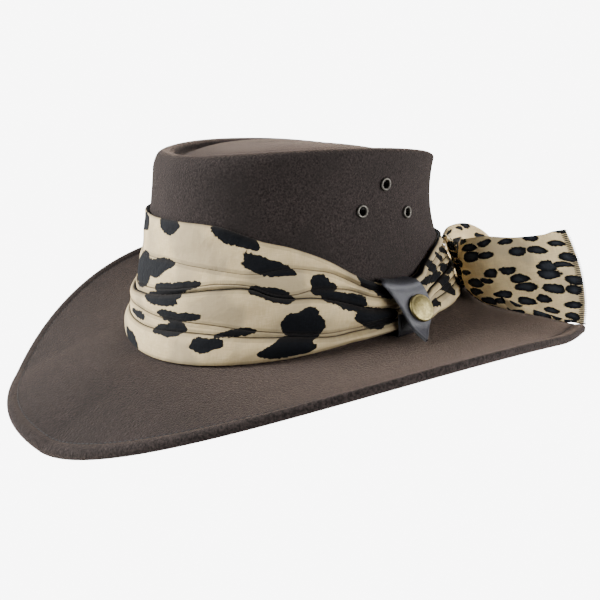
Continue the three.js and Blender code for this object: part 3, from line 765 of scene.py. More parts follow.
class BushHatColours(bpy.types.PropertyGroup):
    """Main colours of the hat."""
    felt: bpy.props.FloatVectorProperty(
        name="Felt", description="Colour of the felt's nap", default=linear("#282322"), **COLOUR)
    cloth: bpy.props.FloatVectorProperty(
        name="Scarf cloth", description="Ground colour of the scarf", default=linear("#c8b58d"), **COLOUR)
    ink: bpy.props.FloatVectorProperty(
        name="Scarf print", description="Colour of the printed spots", default=linear("#07090d"), **COLOUR)
    leather: bpy.props.FloatVectorProperty(
        name="Leather", description="Colour of the keepers' leather", default=linear("#3a3a40"), **COLOUR)


def felt_finish(colours, sizes):
    """Wool felt, fulled and brushed to a short nap like suede: matt, with a fine
    grain of tufts, soft blotches where the nap lies differently and a pale sheen
    where it is seen along its surface. The turned hem is coarser and flecked."""
    finish, tree, shader = new_finish("brushed_wool_felt")
    place = add_node(tree, "ShaderNodeTexCoord", give="Object")
    felt = colours.felt
    tufts = add_node(tree, "ShaderNodeTexNoise", {
        "Vector": place, "Scale": 1 / sizes.nap, "Detail": 3.0, "Roughness": 0.65})
    blotches = add_node(tree, "ShaderNodeTexNoise", {
        "Vector": place, "Scale": 1 / 0.024, "Detail": 3.0, "Roughness": 0.6})
    patches = add_node(tree, "ShaderNodeTexNoise", {"Vector": place, "Scale": 1 / 0.007, "Detail": 2.0})
    flecks = add_node(tree, "ShaderNodeTexNoise", {
        "Vector": place, "Scale": 1 / 0.0014, "Detail": 2.0, "Roughness": 0.8})
    hem = add_node(tree, "ShaderNodeAttribute", give="Fac", attribute_name="hem")
    body = tinted(tree, shaded(felt, 0.1, 0.1, 0.1), shaded(felt, 2.2, 2.16, 2.14), tufts, 0.25, 0.75)
    body = tinted(tree, body, shaded(felt, 0.82, 0.86, 0.84), blotches, 0.35, 0.68, 0.7)
    body = tinted(tree, body, shaded(felt, 1.5, 1.4, 1.34), patches, 0.45, 0.8, 0.12)
    heather = tinted(tree, shaded(felt, 0.3, 0.3, 0.3), shaded(felt, 2.3, 2.2, 2.1), flecks, 0.42, 0.6)
    body = tinted(tree, body, heather, hem, 0, 1, 0.5)
    relief = add_node(tree, "ShaderNodeBump", {"Height": tufts, "Distance": 0.0006})
    relief = add_node(tree, "ShaderNodeBump", {"Height": flecks, "Distance": 0.0003, "Normal": relief})
    relief = add_node(tree, "ShaderNodeBump", {"Height": patches, "Distance": 0.0001, "Normal": relief})
    fill(tree, shader, {
        "Base Color": body, "Normal": relief, "Roughness": 0.96, "Specular IOR Level": 0.12,
        "Sheen Weight": 0.4, "Sheen Roughness": 0.3, "Sheen Tint": linear("#b9a08e")})
    return finish


def dye_cloth(tree, shader, place, ink, print_colour, colours, sizes, lift=1.0):
    """Colour of cotton voile with a print: the ink's share mixes ground and print.
    Both vary with the slubs of the crossing threads, and the ground also with
    the layer beneath that shows through. The ground is also painted darker and
    browner where the creases' noise is high, as painted shade in the creases.
    Real voile has three threads to a millimetre; they are drawn coarser."""
    # A lift above 1 paints the ground lighter: painted light for a single layer lit from behind.
    cloth = shaded(colours.cloth, lift, lift, lift)
    threads = []
    for stretch in ((1, 0.1, 1), (0.1, 1, 1)):
        along = add_node(tree, "ShaderNodeMapping", {0: place, 3: stretch})
        threads.append(add_node(tree, "ShaderNodeTexNoise", {
            "Vector": along, "Scale": 1 / sizes.thread, "Detail": 1.0}))
    weave = add_node(tree, "ShaderNodeMath", {0: threads[0], 1: threads[1]}, operation="ADD")
    creases = add_node(tree, "ShaderNodeTexNoise", {
        "Vector": place, "Scale": 1 / 0.006, "Detail": 3.0, "Roughness": 0.6})
    layers = add_node(tree, "ShaderNodeTexNoise", {
        "Vector": place, "Scale": 1 / 0.03, "Detail": 2.0, "Distortion": 0.4})
    ground = tinted(tree, shaded(cloth, 0.9, 0.88, 0.85), shaded(cloth, 1.06, 1.06, 1.06), weave, 0.8, 1.25)
    # Painted shade: darker and browner where the creases' noise is high.
    ground = tinted(tree, ground, shaded(cloth, 0.76, 0.7, 0.6), creases, 0.4, 0.8, 0.45)
    ground = tinted(tree, ground, shaded(cloth, 0.6, 0.61, 0.66), layers, 0.46, 0.58, 0.75)
    dyed = tinted(tree, print_colour, linear("#12161d"), weave, 0.95, 1.3, 0.35)
    relief = add_node(tree, "ShaderNodeBump", {"Height": weave, "Distance": 0.00004})
    relief = add_node(tree, "ShaderNodeBump", {"Height": creases, "Distance": 0.0006, "Normal": relief})
    fill(tree, shader, {
        "Normal": relief, "Roughness": 0.85, "Specular IOR Level": 0.12,
        "Sheen Weight": 0.02, "Sheen Roughness": 0.5})
    return add_node(tree, "ShaderNodeMix", {0: ink, 6: ground, 7: dyed}, give=2, data_type="RGBA")


def blotted_finish(colours, sizes):
    """Cream cotton voile printed with large blots. Their edges come from the
    distance kept in the mesh, made a little ragged by noise. Deep in the folds
    the cloth's colour is darkened: painted shade."""
    finish, tree, shader = new_finish("printed_cotton_voile_blots")
    place = add_node(tree, "ShaderNodeUVMap", uv_map="cloth")
    far = add_node(tree, "ShaderNodeAttribute", give="Fac", attribute_name="blot")
    ragged = add_node(tree, "ShaderNodeTexNoise", {"Vector": place, "Scale": 1 / 0.0024, "Detail": 2.0})
    ragged = add_node(tree, "ShaderNodeMapRange", {0: ragged, 1: 0.2, 2: 0.8, 3: -0.8, 4: 0.8})
    edge = add_node(tree, "ShaderNodeMath", {0: far, 1: ragged}, operation="ADD")
    ink = add_node(tree, "ShaderNodeMapRange", {0: edge, 1: -0.16, 2: 0.16, 3: 1.0, 4: 0.0})
    dyed = dye_cloth(tree, shader, place, ink, tuple(colours.ink), colours, sizes)
    opened = add_node(tree, "ShaderNodeAttribute", give="Fac", attribute_name="open")
    # Painted shade: the cloth is darkened where it lies deep in a fold.
    fill(tree, shader, {"Base Color": tinted(tree, linear("#1a1612"), dyed, opened, 0.3, 0.7)})
    return finish


def spotted_finish(name, colours, sizes, blots):
    """The same cotton with small long spots in rows, as on a cheetah: cells of
    13.5 by 6.8 mm with a spot in each, grey in the middle and black at the edge.
    The spots swell into blots towards the knot. One layer of voile hangs free
    and light comes through it, so it is drawn lighter than the band."""
    finish, tree, shader = new_finish(name)
    place = add_node(tree, "ShaderNodeUVMap", uv_map="cloth")
    wander = add_node(tree, "ShaderNodeTexNoise", {
        "Vector": place, "Scale": 80.0, "Detail": 1.0}, give="Color")
    wander = add_node(tree, "ShaderNodeVectorMath", {0: wander, 1: (0.006, 0.005, 0)}, operation="MULTIPLY")
    wander = add_node(tree, "ShaderNodeVectorMath", {0: place, 1: wander}, operation="ADD")
    cells = add_node(tree, "ShaderNodeMapping", {0: wander, 3: (1 / 0.0135, 1 / 0.0068, 1)})
    near, chance = (add_node(tree, "ShaderNodeTexVoronoi", {
        "Vector": cells, "Scale": 1.0, "Randomness": 0.7}, give=give, voronoi_dimensions="2D")
        for give in ("Distance", "Color"))
    size = add_node(tree, "ShaderNodeSeparateColor", {0: chance})
    reach = add_node(tree, "ShaderNodeMapRange", {0: size, 3: 0.28, 4: 0.46})
    along = add_node(tree, "ShaderNodeSeparateXYZ", {0: place})
    swell = add_node(tree, "ShaderNodeMapRange", {0: along, 1: 0.012, 2: 0.036, 3: blots, 4: 0.0})
    reach = add_node(tree, "ShaderNodeMath", {0: reach, 1: swell}, operation="ADD")
    ragged = add_node(tree, "ShaderNodeTexNoise", {"Vector": place, "Scale": 1 / 0.0016, "Detail": 1.0})
    ragged = add_node(tree, "ShaderNodeMapRange", {0: ragged, 1: 0.2, 2: 0.8, 3: -0.05, 4: 0.05})
    near = add_node(tree, "ShaderNodeMath", {0: near, 1: ragged}, operation="ADD")
    far = add_node(tree, "ShaderNodeMath", {0: near, 1: reach}, operation="SUBTRACT")
    print_colour = tinted(tree, linear("#32363c"), tuple(colours.ink), far, -0.3, -0.08)
    ink = add_node(tree, "ShaderNodeMapRange", {0: far, 1: -0.025, 2: 0.025, 3: 1.0, 4: 0.0})
    dyed = dye_cloth(tree, shader, place, ink, print_colour, colours, sizes, lift=1.6)
    fill(tree, shader, {"Base Color": dyed})
    return finish


def leather_finish(colours, sizes):
    """Chrome-tanned leather, dyed and pressed: fine pebbled grain, a satin top
    and cut edges painted darker. The same darkening over the loop under the
    flap is painted shade."""
    finish, tree, shader = new_finish("dyed_grey_leather")
    place = add_node(tree, "ShaderNodeTexCoord", give="Object")
    leather = colours.leather
    grain = add_node(tree, "ShaderNodeTexVoronoi", {"Vector": place, "Scale": 1 / sizes.grain},
                     give="Distance", feature="DISTANCE_TO_EDGE")
    grain = add_node(tree, "ShaderNodeMapRange", {0: grain, 1: 0.0, 2: 0.25})
    clouds = add_node(tree, "ShaderNodeTexNoise", {"Vector": place, "Scale": 1 / 0.006, "Detail": 3.0})
    edge = add_node(tree, "ShaderNodeAttribute", give="Fac", attribute_name="edge")
    body = tinted(tree, shaded(leather, 0.8, 0.8, 0.8), shaded(leather, 1.25, 1.25, 1.25), clouds, 0.3, 0.7)
    # Darker cut edges, and painted shade over the loop under the flap.
    body = tinted(tree, body, linear("#0e0e10"), edge, 1.0, 0.3, 0.8)
    relief = add_node(tree, "ShaderNodeBump", {"Height": grain, "Distance": 0.00005})
    relief = add_node(tree, "ShaderNodeBump", {"Height": clouds, "Distance": 0.00015, "Normal": relief})
    gloss = add_node(tree, "ShaderNodeMapRange", {0: clouds, 1: 0.3, 2: 0.7, 3: 0.44, 4: 0.58})
    fill(tree, shader, {"Base Color": body, "Normal": relief, "Roughness": gloss, "IOR": 1.48})
    return finish


def metal_finish(name, bright, dull, rough):
    """Plated sheet metal with an aged film: the film is duller in soft clouds and
    fine grit makes the surface uneven."""
    finish, tree, shader = new_finish(name)
    place = add_node(tree, "ShaderNodeTexCoord", give="Object")
    film = add_node(tree, "ShaderNodeTexNoise", {
        "Vector": place, "Scale": 1 / 0.0016, "Detail": 4.0, "Roughness": 0.65})
    grit = add_node(tree, "ShaderNodeTexNoise", {"Vector": place, "Scale": 1 / 0.0004, "Detail": 2.0})
    body = tinted(tree, linear(bright), linear(dull), film, 0.35, 0.68)
    gloss = add_node(tree, "ShaderNodeMapRange", {0: film, 1: 0.3, 2: 0.7, 3: rough, 4: rough + 0.16})
    relief = add_node(tree, "ShaderNodeBump", {"Height": grit, "Distance": 0.00002})
    fill(tree, shader, {"Base Color": body, "Normal": relief, "Roughness": gloss, "Metallic": 1.0})
    return finish


def thread_finish(name, colour):
    """Spun polyester thread, matt and with a fine twist."""
    finish, tree, shader = new_finish(name)
    place = add_node(tree, "ShaderNodeTexCoord", give="Object")
    twist = add_node(tree, "ShaderNodeTexNoise", {"Vector": place, "Scale": 1 / 0.0004, "Detail": 2.0})
    body = tinted(tree, linear(colour, 0.6), linear(colour, 1.4), twist, 0, 1)
    relief = add_node(tree, "ShaderNodeBump", {"Height": twist, "Distance": 0.00006})
    fill(tree, shader, {"Base Color": body, "Normal": relief, "Roughness": 0.7})
    return finish


# the pieces


def crown_points(columns):
    """Outside and inside of the crown as one closed skin. The outside follows the
    wall and then runs through the rows of the telescoped top; the inside is the
    outside moved in by the felt's thickness, square to the surface. The crest is
    turned more tightly at the back than in front."""
    angle = ring(columns)
    wall = [wall_point(angle, rise) for rise in np.linspace(0, WALL_SHARE, 34)]
    soft = mix(1, 0.6, (1 - np.cos(angle)) / 2)
    rows = [wall[-2], wall[-1]]
    for k, (inset, drop) in enumerate(zip(TOP["inset"], TOP["drop"])):
        scale = mix(soft, 1, min(1, k / 4))
        rows.append(top_point(angle, inset * scale if k < 3 else inset + 0 * angle, drop * scale))
    top = through(rows, 92)
    far = np.linalg.norm(top - rows[0], axis=-1).mean(axis=1)
    past_wall = far > 1.001 * np.linalg.norm(rows[1] - rows[0], axis=-1).mean()
    outside = np.concatenate([wall, top[np.argmax(past_wall):-1]])
    plateau = FOOT_HEIGHT + CROWN_HEIGHT - TOP["drop"][-1] * GROOVE_DEPTH
    middle = np.array([0, CREST_SHIFT, plateau])
    along = np.gradient(outside, axis=0)
    beside = np.roll(outside, -1, axis=1) - np.roll(outside, 1, axis=1)
    normal = np.cross(beside, along)
    normal[0, :, 2] = 0
    inside = outside - unit(normal) * FELT
    return outside + [0, 0, SEAM], inside + [0, 0, SEAM], middle + [0, 0, SEAM]


def make_crown(finish):
    """Crown as one closed skin: its outside up to the middle of the top, its
    inside with every second row, and the ring at its foot."""
    outside, inside, middle = crown_points(360)
    inside = inside[::2][::-1]
    rows, columns = outside.shape[:2]
    total = rows + len(inside)
    points = np.concatenate([outside.reshape(-1, 3), inside.reshape(-1, 3), [middle, middle - [0, 0, FELT]]])
    top_row = np.arange((rows - 1) * columns, rows * columns)
    quads = np.delete(lattice(total, columns, wrap_columns=True), top_row, axis=0)
    first, last = np.arange(columns), np.arange((total - 1) * columns, total * columns)
    foot = np.stack([last, np.roll(last, -1), np.roll(first, -1), first], -1)
    caps = [fan(top_row, total * columns), fan(top_row + columns, total * columns + 1, flip=True)]
    return make_piece("felt_crown", points, [quads, foot, *caps], finish)


def eyelet_places():
    """Middle on the felt's outside and outward direction of the six eyelets."""
    places = []
    for side in (1, -1):
        for angle, rise in EYELETS:
            a, step = side * np.radians(angle), 0.02
            point = wall_point(a, rise)
            around = wall_point(a + step, rise) - wall_point(a - step, rise)
            up = wall_point(a, rise + step) - wall_point(a, rise - step)
            places.append((point + [0, 0, SEAM], unit(np.cross(around, up)), unit(up)))
    return places


def pierce(crown):
    """Cuts the eyelets' holes through the felt with drills of 24 sides."""
    points, faces = [], []
    for k, (origin, out, up) in enumerate(eyelet_places()):
        points.append(seat(lathe([(HOLE_RADIUS, -6), (HOLE_RADIUS, 3)], 24), origin, out, up).reshape(-1, 3))
        end = np.arange(24)[None] + 48 * k
        faces += [lattice(2, 24, wrap_columns=True, first=48 * k), end[:, ::-1], end + 24]
    drills = build("eyelet_drills", np.concatenate(points), faces)
    cut = crown.modifiers.new("holes", "BOOLEAN")
    cut.object, cut.operation, cut.solver = drills, "DIFFERENCE", "EXACT"
    settle(crown)
    bpy.data.objects.remove(drills)


def make_brim(finish):
    """Brim as one closed skin round the hat: its upper face, the section of the
    hem, its lower face and the ring inside the crown."""
    angle = ring(480)
    width = brim_width(angle)
    last = 1 - HEM["inside"][0] / width
    upper = [brim_point(angle, last * share) for share in np.linspace(0, 1, 40)]
    hem = [brim_point(angle, 1 - inside / width) + [0, 0, up - FELT / 2]
           for inside, up in zip(HEM["inside"], HEM["up"])]
    lower = [brim_point(angle, last * share) - [0, 0, FELT] for share in np.linspace(1, 0, 22)]
    x, y = oval(HEAD[0], HEAD[1], CROWN_SQUARENESS, angle)
    inner = np.stack([x, y, foot_at(angle)], -1)[None]
    rows = np.concatenate([inner, upper[:-1], through(hem, 56), lower[1:], inner - [0, 0, FELT]])
    rows[..., 2] = np.maximum(rows[..., 2], 0)
    edge = np.linalg.norm(rows[..., :2] - brim_point(angle, 1)[None, :, :2], axis=-1)
    faces = [lattice(len(rows), len(angle), wrap_rows=True, wrap_columns=True)]
    return make_piece("felt_brim", rows, faces, finish, values={"hem": np.exp(-(edge / 3.2) ** 4)})


def capsules(starts, ends, normals, radius):
    """Small threads from start to end that arch a little along their normals:
    rings of a tube along a parabola, pinched at both ends, all in one mesh."""
    count, stations, sides = len(starts), 6, 6
    t = np.linspace(0, 1, stations)[:, None]
    path = starts[:, None] + (ends - starts)[:, None] * t + normals[:, None] * (4 * radius * t * (1 - t))
    side = unit(np.cross(unit(ends - starts), normals))
    turn = ring(sides)[:, None]
    spokes = side[:, None] * np.cos(turn) + normals[:, None] * np.sin(turn)
    pinch = radius * np.sin(np.pi * np.clip(t, 0.04, 0.96)) ** 0.4
    points = path[:, :, None] + spokes[:, None] * pinch[..., None]
    one = lattice(stations, sides, wrap_columns=True)
    first = (np.arange(count) * stations * sides)[:, None, None]
    quads = (one[None] + first).reshape(-1, 4)
    caps = np.stack([np.arange(sides)[::-1], np.arange(sides) + (stations - 1) * sides])
    return points.reshape(-1, 3), [quads, (caps[None] + first).reshape(-1, sides)]


def make_brim_stitching(finish, sizes):
    """Row of running stitches in the groove of the hem, with a short gap between
    a stitch and the next."""
    angle = np.linspace(0, TURN, 4001)
    length = travelled(brim_point(angle, 1 - STITCH_LINE / brim_width(angle)))
    count = int(length[-1] / (sizes.stitch / MM))
    points = []
    for share in (0.12, 0.88):
        a = np.interp((np.arange(count) + share) * length[-1] / count, length, angle)
        points.append(brim_point(a, 1 - STITCH_LINE / brim_width(a)) - [0, 0, 0.2])
    up = np.zeros_like(points[0]) + [0, 0, 1]
    threads, faces = capsules(points[0], points[1], up, STITCH_RADIUS)
    return make_piece("brim_stitching", threads, faces, finish)


def make_scarf_band(finish):
    """The pleated scarf round the crown, one closed skin through its folds."""
    angle, height, points, opened = scarf_band_points(560)
    up = travelled(points)
    arc = arc_at(angle)[None] + 0 * up
    faces = [lattice(*up.shape, wrap_rows=True, wrap_columns=True)]
    return make_piece("pleated_scarf_band", points, faces, finish, uv=np.stack([arc, up], -1) * MM,
                      values={"blot": blot_distance(arc, height), "open": opened})


def make_knot(finish):
    """Gathered wrap: a flat-backed spindle over the scarf's height with ruches
    along it and fine puckers across them."""
    middle = np.radians(KNOT_ANGLE)
    reach = np.hypot(*oval(FOOT[0], FOOT[1], CROWN_SQUARENESS, middle))
    spread = KNOT_WIDTH / 2 / reach
    up = np.linspace(0, 1, 90)[1:-1, None]
    turn = ring(96)[None]
    swell = np.sin(np.pi * up) ** 0.5
    ruche = 1 + 0.1 * np.cos(7 * turn + 2.5 * up) + 0.05 * np.sin(TURN * 13 * up + 3 * np.sin(2 * turn))
    front = (1 + np.cos(turn)) / 2
    angle = middle + spread * swell * np.sin(turn) * ruche
    spots = np.linspace(middle - 2 * spread, middle + 2 * spread, 15)
    back = np.interp(angle, spots, scarf_face(spots)) + KNOT_GAP
    puckers = 0.5 * front * np.sin(TURN * 15 * up + 2 * np.cos(3 * turn))
    out = back + KNOT_BULK * swell * front * (0.9 + 0.1 * ruche) + puckers
    share = mix(-0.01, 0.99, up) + 0 * turn
    body = scarf_point(angle, share, np.maximum(out, back))
    face = scarf_face(np.array([middle]))[0] + KNOT_GAP + KNOT_BULK * 0.1
    ends = [scarf_point(np.array(middle), np.array(share), face) for share in (-0.01, 0.99)]
    rows, columns = body.shape[:2]
    faces = [lattice(rows, columns, wrap_columns=True),
             fan(np.arange(columns), rows * columns, flip=True),
             fan(np.arange((rows - 1) * columns, rows * columns), rows * columns + 1)]
    uv = np.stack(np.broadcast_arrays(turn * 6, up * 70), -1).reshape(-1, 2)
    return make_piece("scarf_knot_wrap", np.concatenate([body.reshape(-1, 3), ends]), faces, finish,
                      uv=np.concatenate([uv, [[20, 0], [20, 70]]]) * MM)


def make_tail(name, rows, height, finish, seed):
    """Loose end of the scarf: its surface with gathers that die out away
    from the knot and a few soft waves, given the cloth's thickness."""
    grid, along = tail_surface(rows, height, 150, 64)
    normal = normals_of(grid)
    rng = np.random.RandomState(seed)
    across = np.linspace(0, 1, grid.shape[1])[None]
    along = along[:, None]
    fade = 1 - smooth(0.05, 0.5, along)
    gathers = np.sin(TURN * (6.5 * across + 0.3 * np.sin(5 * along))) + 0.5 * np.sin(TURN * 11 * across + 1)
    waves = np.sin(TURN * (1.3 * across + 1.1 * along) + rng.uniform(0, TURN))
    relief = fade * gathers + 0.7 * smooth(0.1, 0.5, along) * waves * across
    relief = relief * smooth(0, 0.12, across)
    grid = grid + normal * relief[..., None]
    obj = make_piece(name, grid, [lattice(*grid.shape[:2])], finish, uv=cloth_uv(grid), closed=False)
    shell = obj.modifiers.new("cloth", "SOLIDIFY")
    shell.thickness, shell.offset = TAIL_CLOTH * MM, 0
    settle(obj)
    return obj, grid, normal


def make_overlock(name, edge, normal, inward, finish):
    """Overlock stitching round a cut edge: loops of thread from the front over
    the edge to the back."""
    length = travelled(edge)
    count = int(length[-1] / OVERLOCK_STEP)
    place = (np.arange(count) + 0.5) * length[-1] / count
    middle, face, back = (np.stack([np.interp(place, length, values[:, k]) for k in range(3)], -1)
                          for values in (edge, normal, inward))
    face, back = unit(face), unit(back)
    along = unit(np.cross(face, back))
    starts, ends, ups = [], [], []
    for sign in (1, -1):
        starts.append(middle + back * 3.0 + face * sign * 0.6 + along * 0.5)
        ends.append(middle - back * 0.5 + face * sign * 0.5)
        ups.append(face * sign)
    starts.append(middle - back * 0.4 + face * 0.7)
    ends.append(middle - back * 0.4 - face * 0.7)
    ups.append(-back)
    points, faces = capsules(*map(np.concatenate, (starts, ends, ups)), OVERLOCK_RADIUS)
    return make_piece(name, points, faces, finish)


def make_keeper(name, side, finish):
    """Keeper as a closed strap: its section along its length and its two ends."""
    section, edge = keeper_points(190, 22)
    stations, around = section.shape[:2]
    faces = [lattice(stations, around, wrap_columns=True)]
    i = np.arange(around // 2 - 1)
    end = np.stack([i, around - 1 - i, around - 2 - i, i + 1], -1)
    faces += [end[:, ::-1], end + (stations - 1) * around]
    return make_piece(f"{name}_keeper_strap", section * [side, 1, 1], faces, finish, values={"edge": edge})


def cap_frame():
    """Middle of the snap on the flap's face, its outward direction and its up."""
    step = 0.05
    left, right, above, below, middle = (
        flap_point(np.array([CAP_ACROSS + across]), np.array([CAP_DOWN + down]))[0]
        for across, down in ((-step, 0), (step, 0), (0, -step), (0, step), (0, 0)))
    out = unit(np.cross(right - left, above - below))
    return middle + out * (STRAP / 2 + SEAM), out, unit(above - below)


def make_cap(name, side, finish):
    """Snap cap turned from a smooth curve through its section."""
    section = [(CAP_DIAMETER / 2 * share, up, 0) for share, up in zip(CAP["share"], CAP["up"])]
    fine = through(np.array(section)[:, None], 44)[:, 0, :2]
    points = seat(lathe(fine, 64), *cap_frame()) * [side, 1, 1]
    end = np.arange(64)[None]
    faces = [lattice(len(fine), 64, wrap_columns=True), end[:, ::-1], end + (len(fine) - 1) * 64]
    return make_piece(f"{name}_snap_cap", points, faces, finish)


def make_eyelet(name, index, finish):
    """Eyelet turned from its section: a rolled flange on the felt, 7.2 mm across,
    a barrel through it and a washer inside."""
    flange = [(2.0 + 0.8 * (1 - np.cos(a)), 0.3 + 1.0 * np.sin(a)) for a in np.linspace(0, np.pi, 11)]
    profile = flange + [(2.5, 0.3), (2.5, -2.8), (3.3, -2.8), (3.35, -3.05), (3.2, -3.3), (2.0, -3.3)]
    rings = seat(lathe(profile, 40), *eyelet_places()[index])
    faces = [lattice(len(profile), 40, wrap_rows=True, wrap_columns=True)]
    return make_piece(f"eyelet_ring_{name}", rings, faces, finish)


# operators


class BUSHHAT_OT_felt(bpy.types.Operator):
    """Make the felt crown with its eyelet holes and the brim with its stitched hem"""
    bl_idname = "bush_hat.felt"
    bl_label = "Felt crown and brim"

    def execute(self, context):
        colours, sizes = context.scene.bush_hat_colours, context.scene.bush_hat_sizes
        felt = felt_finish(colours, sizes)
        crown = make_crown(felt)
        pierce(crown)
        stand_for(crown, "felt", "crown")
        stand_for(make_brim(felt), "felt", "brim")
        stitching = make_brim_stitching(thread_finish("brown_polyester_thread", "#1c1816"), sizes)
        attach(stitching, "root")
        return {"FINISHED"}


class BUSHHAT_OT_scarf(bpy.types.Operator):
    """Make the pleated scarf band, its gathered knot and its two loose ends"""
    bl_idname = "bush_hat.scarf"
    bl_label = "Scarf"

    def execute(self, context):
        colours, sizes = context.scene.bush_hat_colours, context.scene.bush_hat_sizes
        blots = blotted_finish(colours, sizes)
        spots = spotted_finish("printed_cotton_voile_spots", colours, sizes, 0.3)
        sparse = spotted_finish("printed_cotton_voile_sparse_spots", colours, sizes, -0.1)
        band = make_scarf_band(blots)
        stand_for(band, "scarf_cloth", "scarf_band")
        stand_for(make_knot(spots), "scarf_cloth", "scarf_knot")
        thread = thread_finish("black_overlock_thread", "#0d0e10")
        for name, node, rows, height, finish, seed, flat in (
                ("near_scarf_tail", "scarf_tail_near", NEAR_TAIL, NEAR_HEIGHT, spots, 3, (0.085, 0.06)),
                ("far_scarf_tail", "scarf_tail_far", FAR_TAIL, FAR_HEIGHT, sparse, 4, (0.07, 0.05))):
            tail, grid, normal = make_tail(name, rows, height, finish, seed)
            stand_for(tail, "scarf_cloth", node)
            inward = grid[-4] - grid[-1]
            overlock = make_overlock(name + "_overlock", grid[-1], normal[-1], inward, thread)
            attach(overlock, "root")
        return {"FINISHED"}


class BUSHHAT_OT_keepers(bpy.types.Operator):
    """Make the two leather keepers and their snap caps"""
    bl_idname = "bush_hat.keepers"
    bl_label = "Leather keepers and snaps"

    def execute(self, context):
        colours, sizes = context.scene.bush_hat_colours, context.scene.bush_hat_sizes
        leather = leather_finish(colours, sizes)
        brass = metal_finish("antique_brass_plate", "#8b8058", "#6a6140", 0.4)
        for side, name in ((1, "left"), (-1, "right")):
            stand_for(make_keeper(name, side, leather), "leather", f"keeper_{name}")
            stand_for(make_cap(name, side, brass), "brass", f"snap_cap_{name}")
        return {"FINISHED"}


class BUSHHAT_OT_eyelets(bpy.types.Operator):
    """Make the six ventilation eyelets"""
    bl_idname = "bush_hat.eyelets"
    bl_label = "Eyelets"

    def execute(self, context):
        nickel = metal_finish("antique_nickel_plate", "#625f59", "#3c3a37", 0.42)
        names = [f"{side}_{number}" for side in ("left", "right") for number in (1, 2, 3)]
        for index, name in enumerate(names):
            stand_for(make_eyelet(name, index, nickel), "nickel", f"eyelet_{name}")
        return {"FINISHED"}


# Brightness behind the hat and the floor's radius (mm); the round soft lamps:
# their width and the point they face (m), and each one's place (m) and power (W)
BACKDROP = 8.0
FLOOR_RADIUS = 8000
LAMP_WIDTH, LAMP_TARGET = 0.8, (0, 0, 0.06)
LAMPS = (
    ("left_softbox", (-0.51, -0.91, 0.55), 50),
    ("right_softbox", (0.55, 0.98, 0.32), 16),
    ("camera_softbox", (1.06, 0.4, 0.26), 18),
    ("back_softbox", (-0.94, 0.53, 0.45), 8),
)

# The camera: degrees round from the front, up and tilted; distance, height it
# looks at and shift to the right (m); focal length and width of the picture in
# pixels, and the sensor's width (mm)
CAMERA_ROUND, CAMERA_RISE, CAMERA_TILT = 60.6, 16.9, -0.6
CAMERA_DISTANCE, CAMERA_LEVEL, CAMERA_SHIFT = 0.4133, 0.038, 0.0032
FOCAL_PIXELS, PICTURE_PIXELS, SENSOR = 644.649, 600, 36


def put(obj, right, up, back, place):
    """Places an object by its own three axes and its place."""
    rows = np.stack([right, up, back, place], -1).tolist()
    obj.matrix_world = Matrix([*rows, [0, 0, 0, 1]])


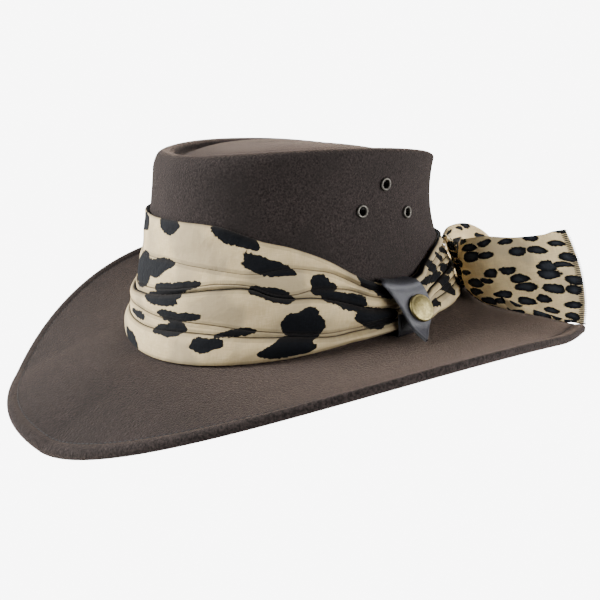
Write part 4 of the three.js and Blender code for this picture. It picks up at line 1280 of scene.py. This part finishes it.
class BUSHHAT_OT_stage(bpy.types.Operator):
    """Make the floor, the soft studio light and the camera"""
    bl_idname = "bush_hat.stage"
    bl_label = "Stage"

    def execute(self, context):
        scene = context.scene
        white = linear("#ffffff")
        turn = ring(128)
        disc = np.stack([np.cos(turn), np.sin(turn), 0 * turn], -1) * FLOOR_RADIUS
        floor = build("floor", disc, [np.arange(128)[None]], closed=False)
        # Painted floor: the camera sees it as the plain pale backdrop, and the
        # hat sees a matt surface that gives back some of the light.
        finish, tree, shader = new_finish("pale_studio_floor")
        fill(tree, shader, {"Base Color": linear("#c4c4c4"), "Roughness": 0.9})
        seen = add_node(tree, "ShaderNodeEmission", {"Color": white, "Strength": BACKDROP})
        straight = add_node(tree, "ShaderNodeLightPath", give="Is Camera Ray")
        lit = add_node(tree, "ShaderNodeMixShader", {0: straight, 1: shader.outputs[0], 2: seen})
        fill(tree, tree.nodes["Material Output"], {"Surface": lit})
        floor.data.materials.append(finish)

        world = bpy.data.worlds.new("studio")
        world.use_nodes = True
        tree = world.node_tree
        soft = tree.nodes["Background"]
        fill(tree, soft, {"Color": white, "Strength": 0.05})
        backdrop = add_node(tree, "ShaderNodeBackground", {"Color": white, "Strength": BACKDROP})
        straight = add_node(tree, "ShaderNodeLightPath", give="Is Camera Ray")
        mixed = add_node(tree, "ShaderNodeMixShader", {0: straight, 1: soft.outputs[0], 2: backdrop})
        fill(tree, tree.nodes["World Output"], {"Surface": mixed})
        scene.world = world

        for name, place, power in LAMPS:
            light = bpy.data.objects.new(name, bpy.data.lights.new(name, "AREA"))
            light.data.shape, light.data.size, light.data.energy = "DISK", LAMP_WIDTH, power
            back = unit(np.subtract(place, LAMP_TARGET))
            right = unit(np.cross([0, 0, 1], back))
            put(light, right, np.cross(back, right), back, place)
            scene.collection.objects.link(light)

        turn, rise, tilt = np.radians([CAMERA_ROUND, CAMERA_RISE, CAMERA_TILT])
        back = np.array([np.sin(turn) * np.cos(rise), -np.cos(turn) * np.cos(rise), np.sin(rise)])
        right = np.array([np.cos(turn), np.sin(turn), 0])
        up = np.cross(back, right)
        place = right * CAMERA_SHIFT + np.array([0, 0, CAMERA_LEVEL]) + back * CAMERA_DISTANCE
        camera = bpy.data.objects.new("camera", bpy.data.cameras.new("camera"))
        camera.data.sensor_width = SENSOR
        camera.data.lens = FOCAL_PIXELS / PICTURE_PIXELS * SENSOR
        camera.data.clip_start = 0.01
        level, upright = right * np.cos(tilt) + up * np.sin(tilt), up * np.cos(tilt) - right * np.sin(tilt)
        put(camera, level, upright, back, place)
        scene.collection.objects.link(camera)
        scene.camera = camera
        return {"FINISHED"}


class BUSHHAT_PT_panel(bpy.types.Panel):
    """Bush hat: its sizes, its colours and the steps that make it"""
    bl_idname = "BUSHHAT_PT_panel"
    bl_label = "Bush hat"
    bl_space_type = "VIEW_3D"
    bl_region_type = "UI"
    bl_category = "Bush hat"

    def draw(self, context):
        layout = self.layout
        for group in (context.scene.bush_hat_sizes, context.scene.bush_hat_colours):
            for name in group.__annotations__:
                layout.prop(group, name)
        for step in STEPS:
            layout.operator(step.bl_idname)


STEPS = (BUSHHAT_OT_felt, BUSHHAT_OT_scarf, BUSHHAT_OT_keepers, BUSHHAT_OT_eyelets, BUSHHAT_OT_stage)
CLASSES = (BushHatSizes, BushHatColours, *STEPS, BUSHHAT_PT_panel)


def register():
    for kind in CLASSES:
        bpy.utils.register_class(kind)
    bpy.types.Scene.bush_hat_sizes = bpy.props.PointerProperty(type=BushHatSizes)
    bpy.types.Scene.bush_hat_colours = bpy.props.PointerProperty(type=BushHatColours)


def unregister():
    del bpy.types.Scene.bush_hat_colours
    del bpy.types.Scene.bush_hat_sizes
    for kind in reversed(CLASSES):
        bpy.utils.unregister_class(kind)


def main():
    register()
    bpy.ops.bush_hat.felt()
    bpy.ops.bush_hat.scarf()
    bpy.ops.bush_hat.keepers()
    bpy.ops.bush_hat.eyelets()
    bpy.ops.bush_hat.stage()


if __name__ == "__main__":
    main()
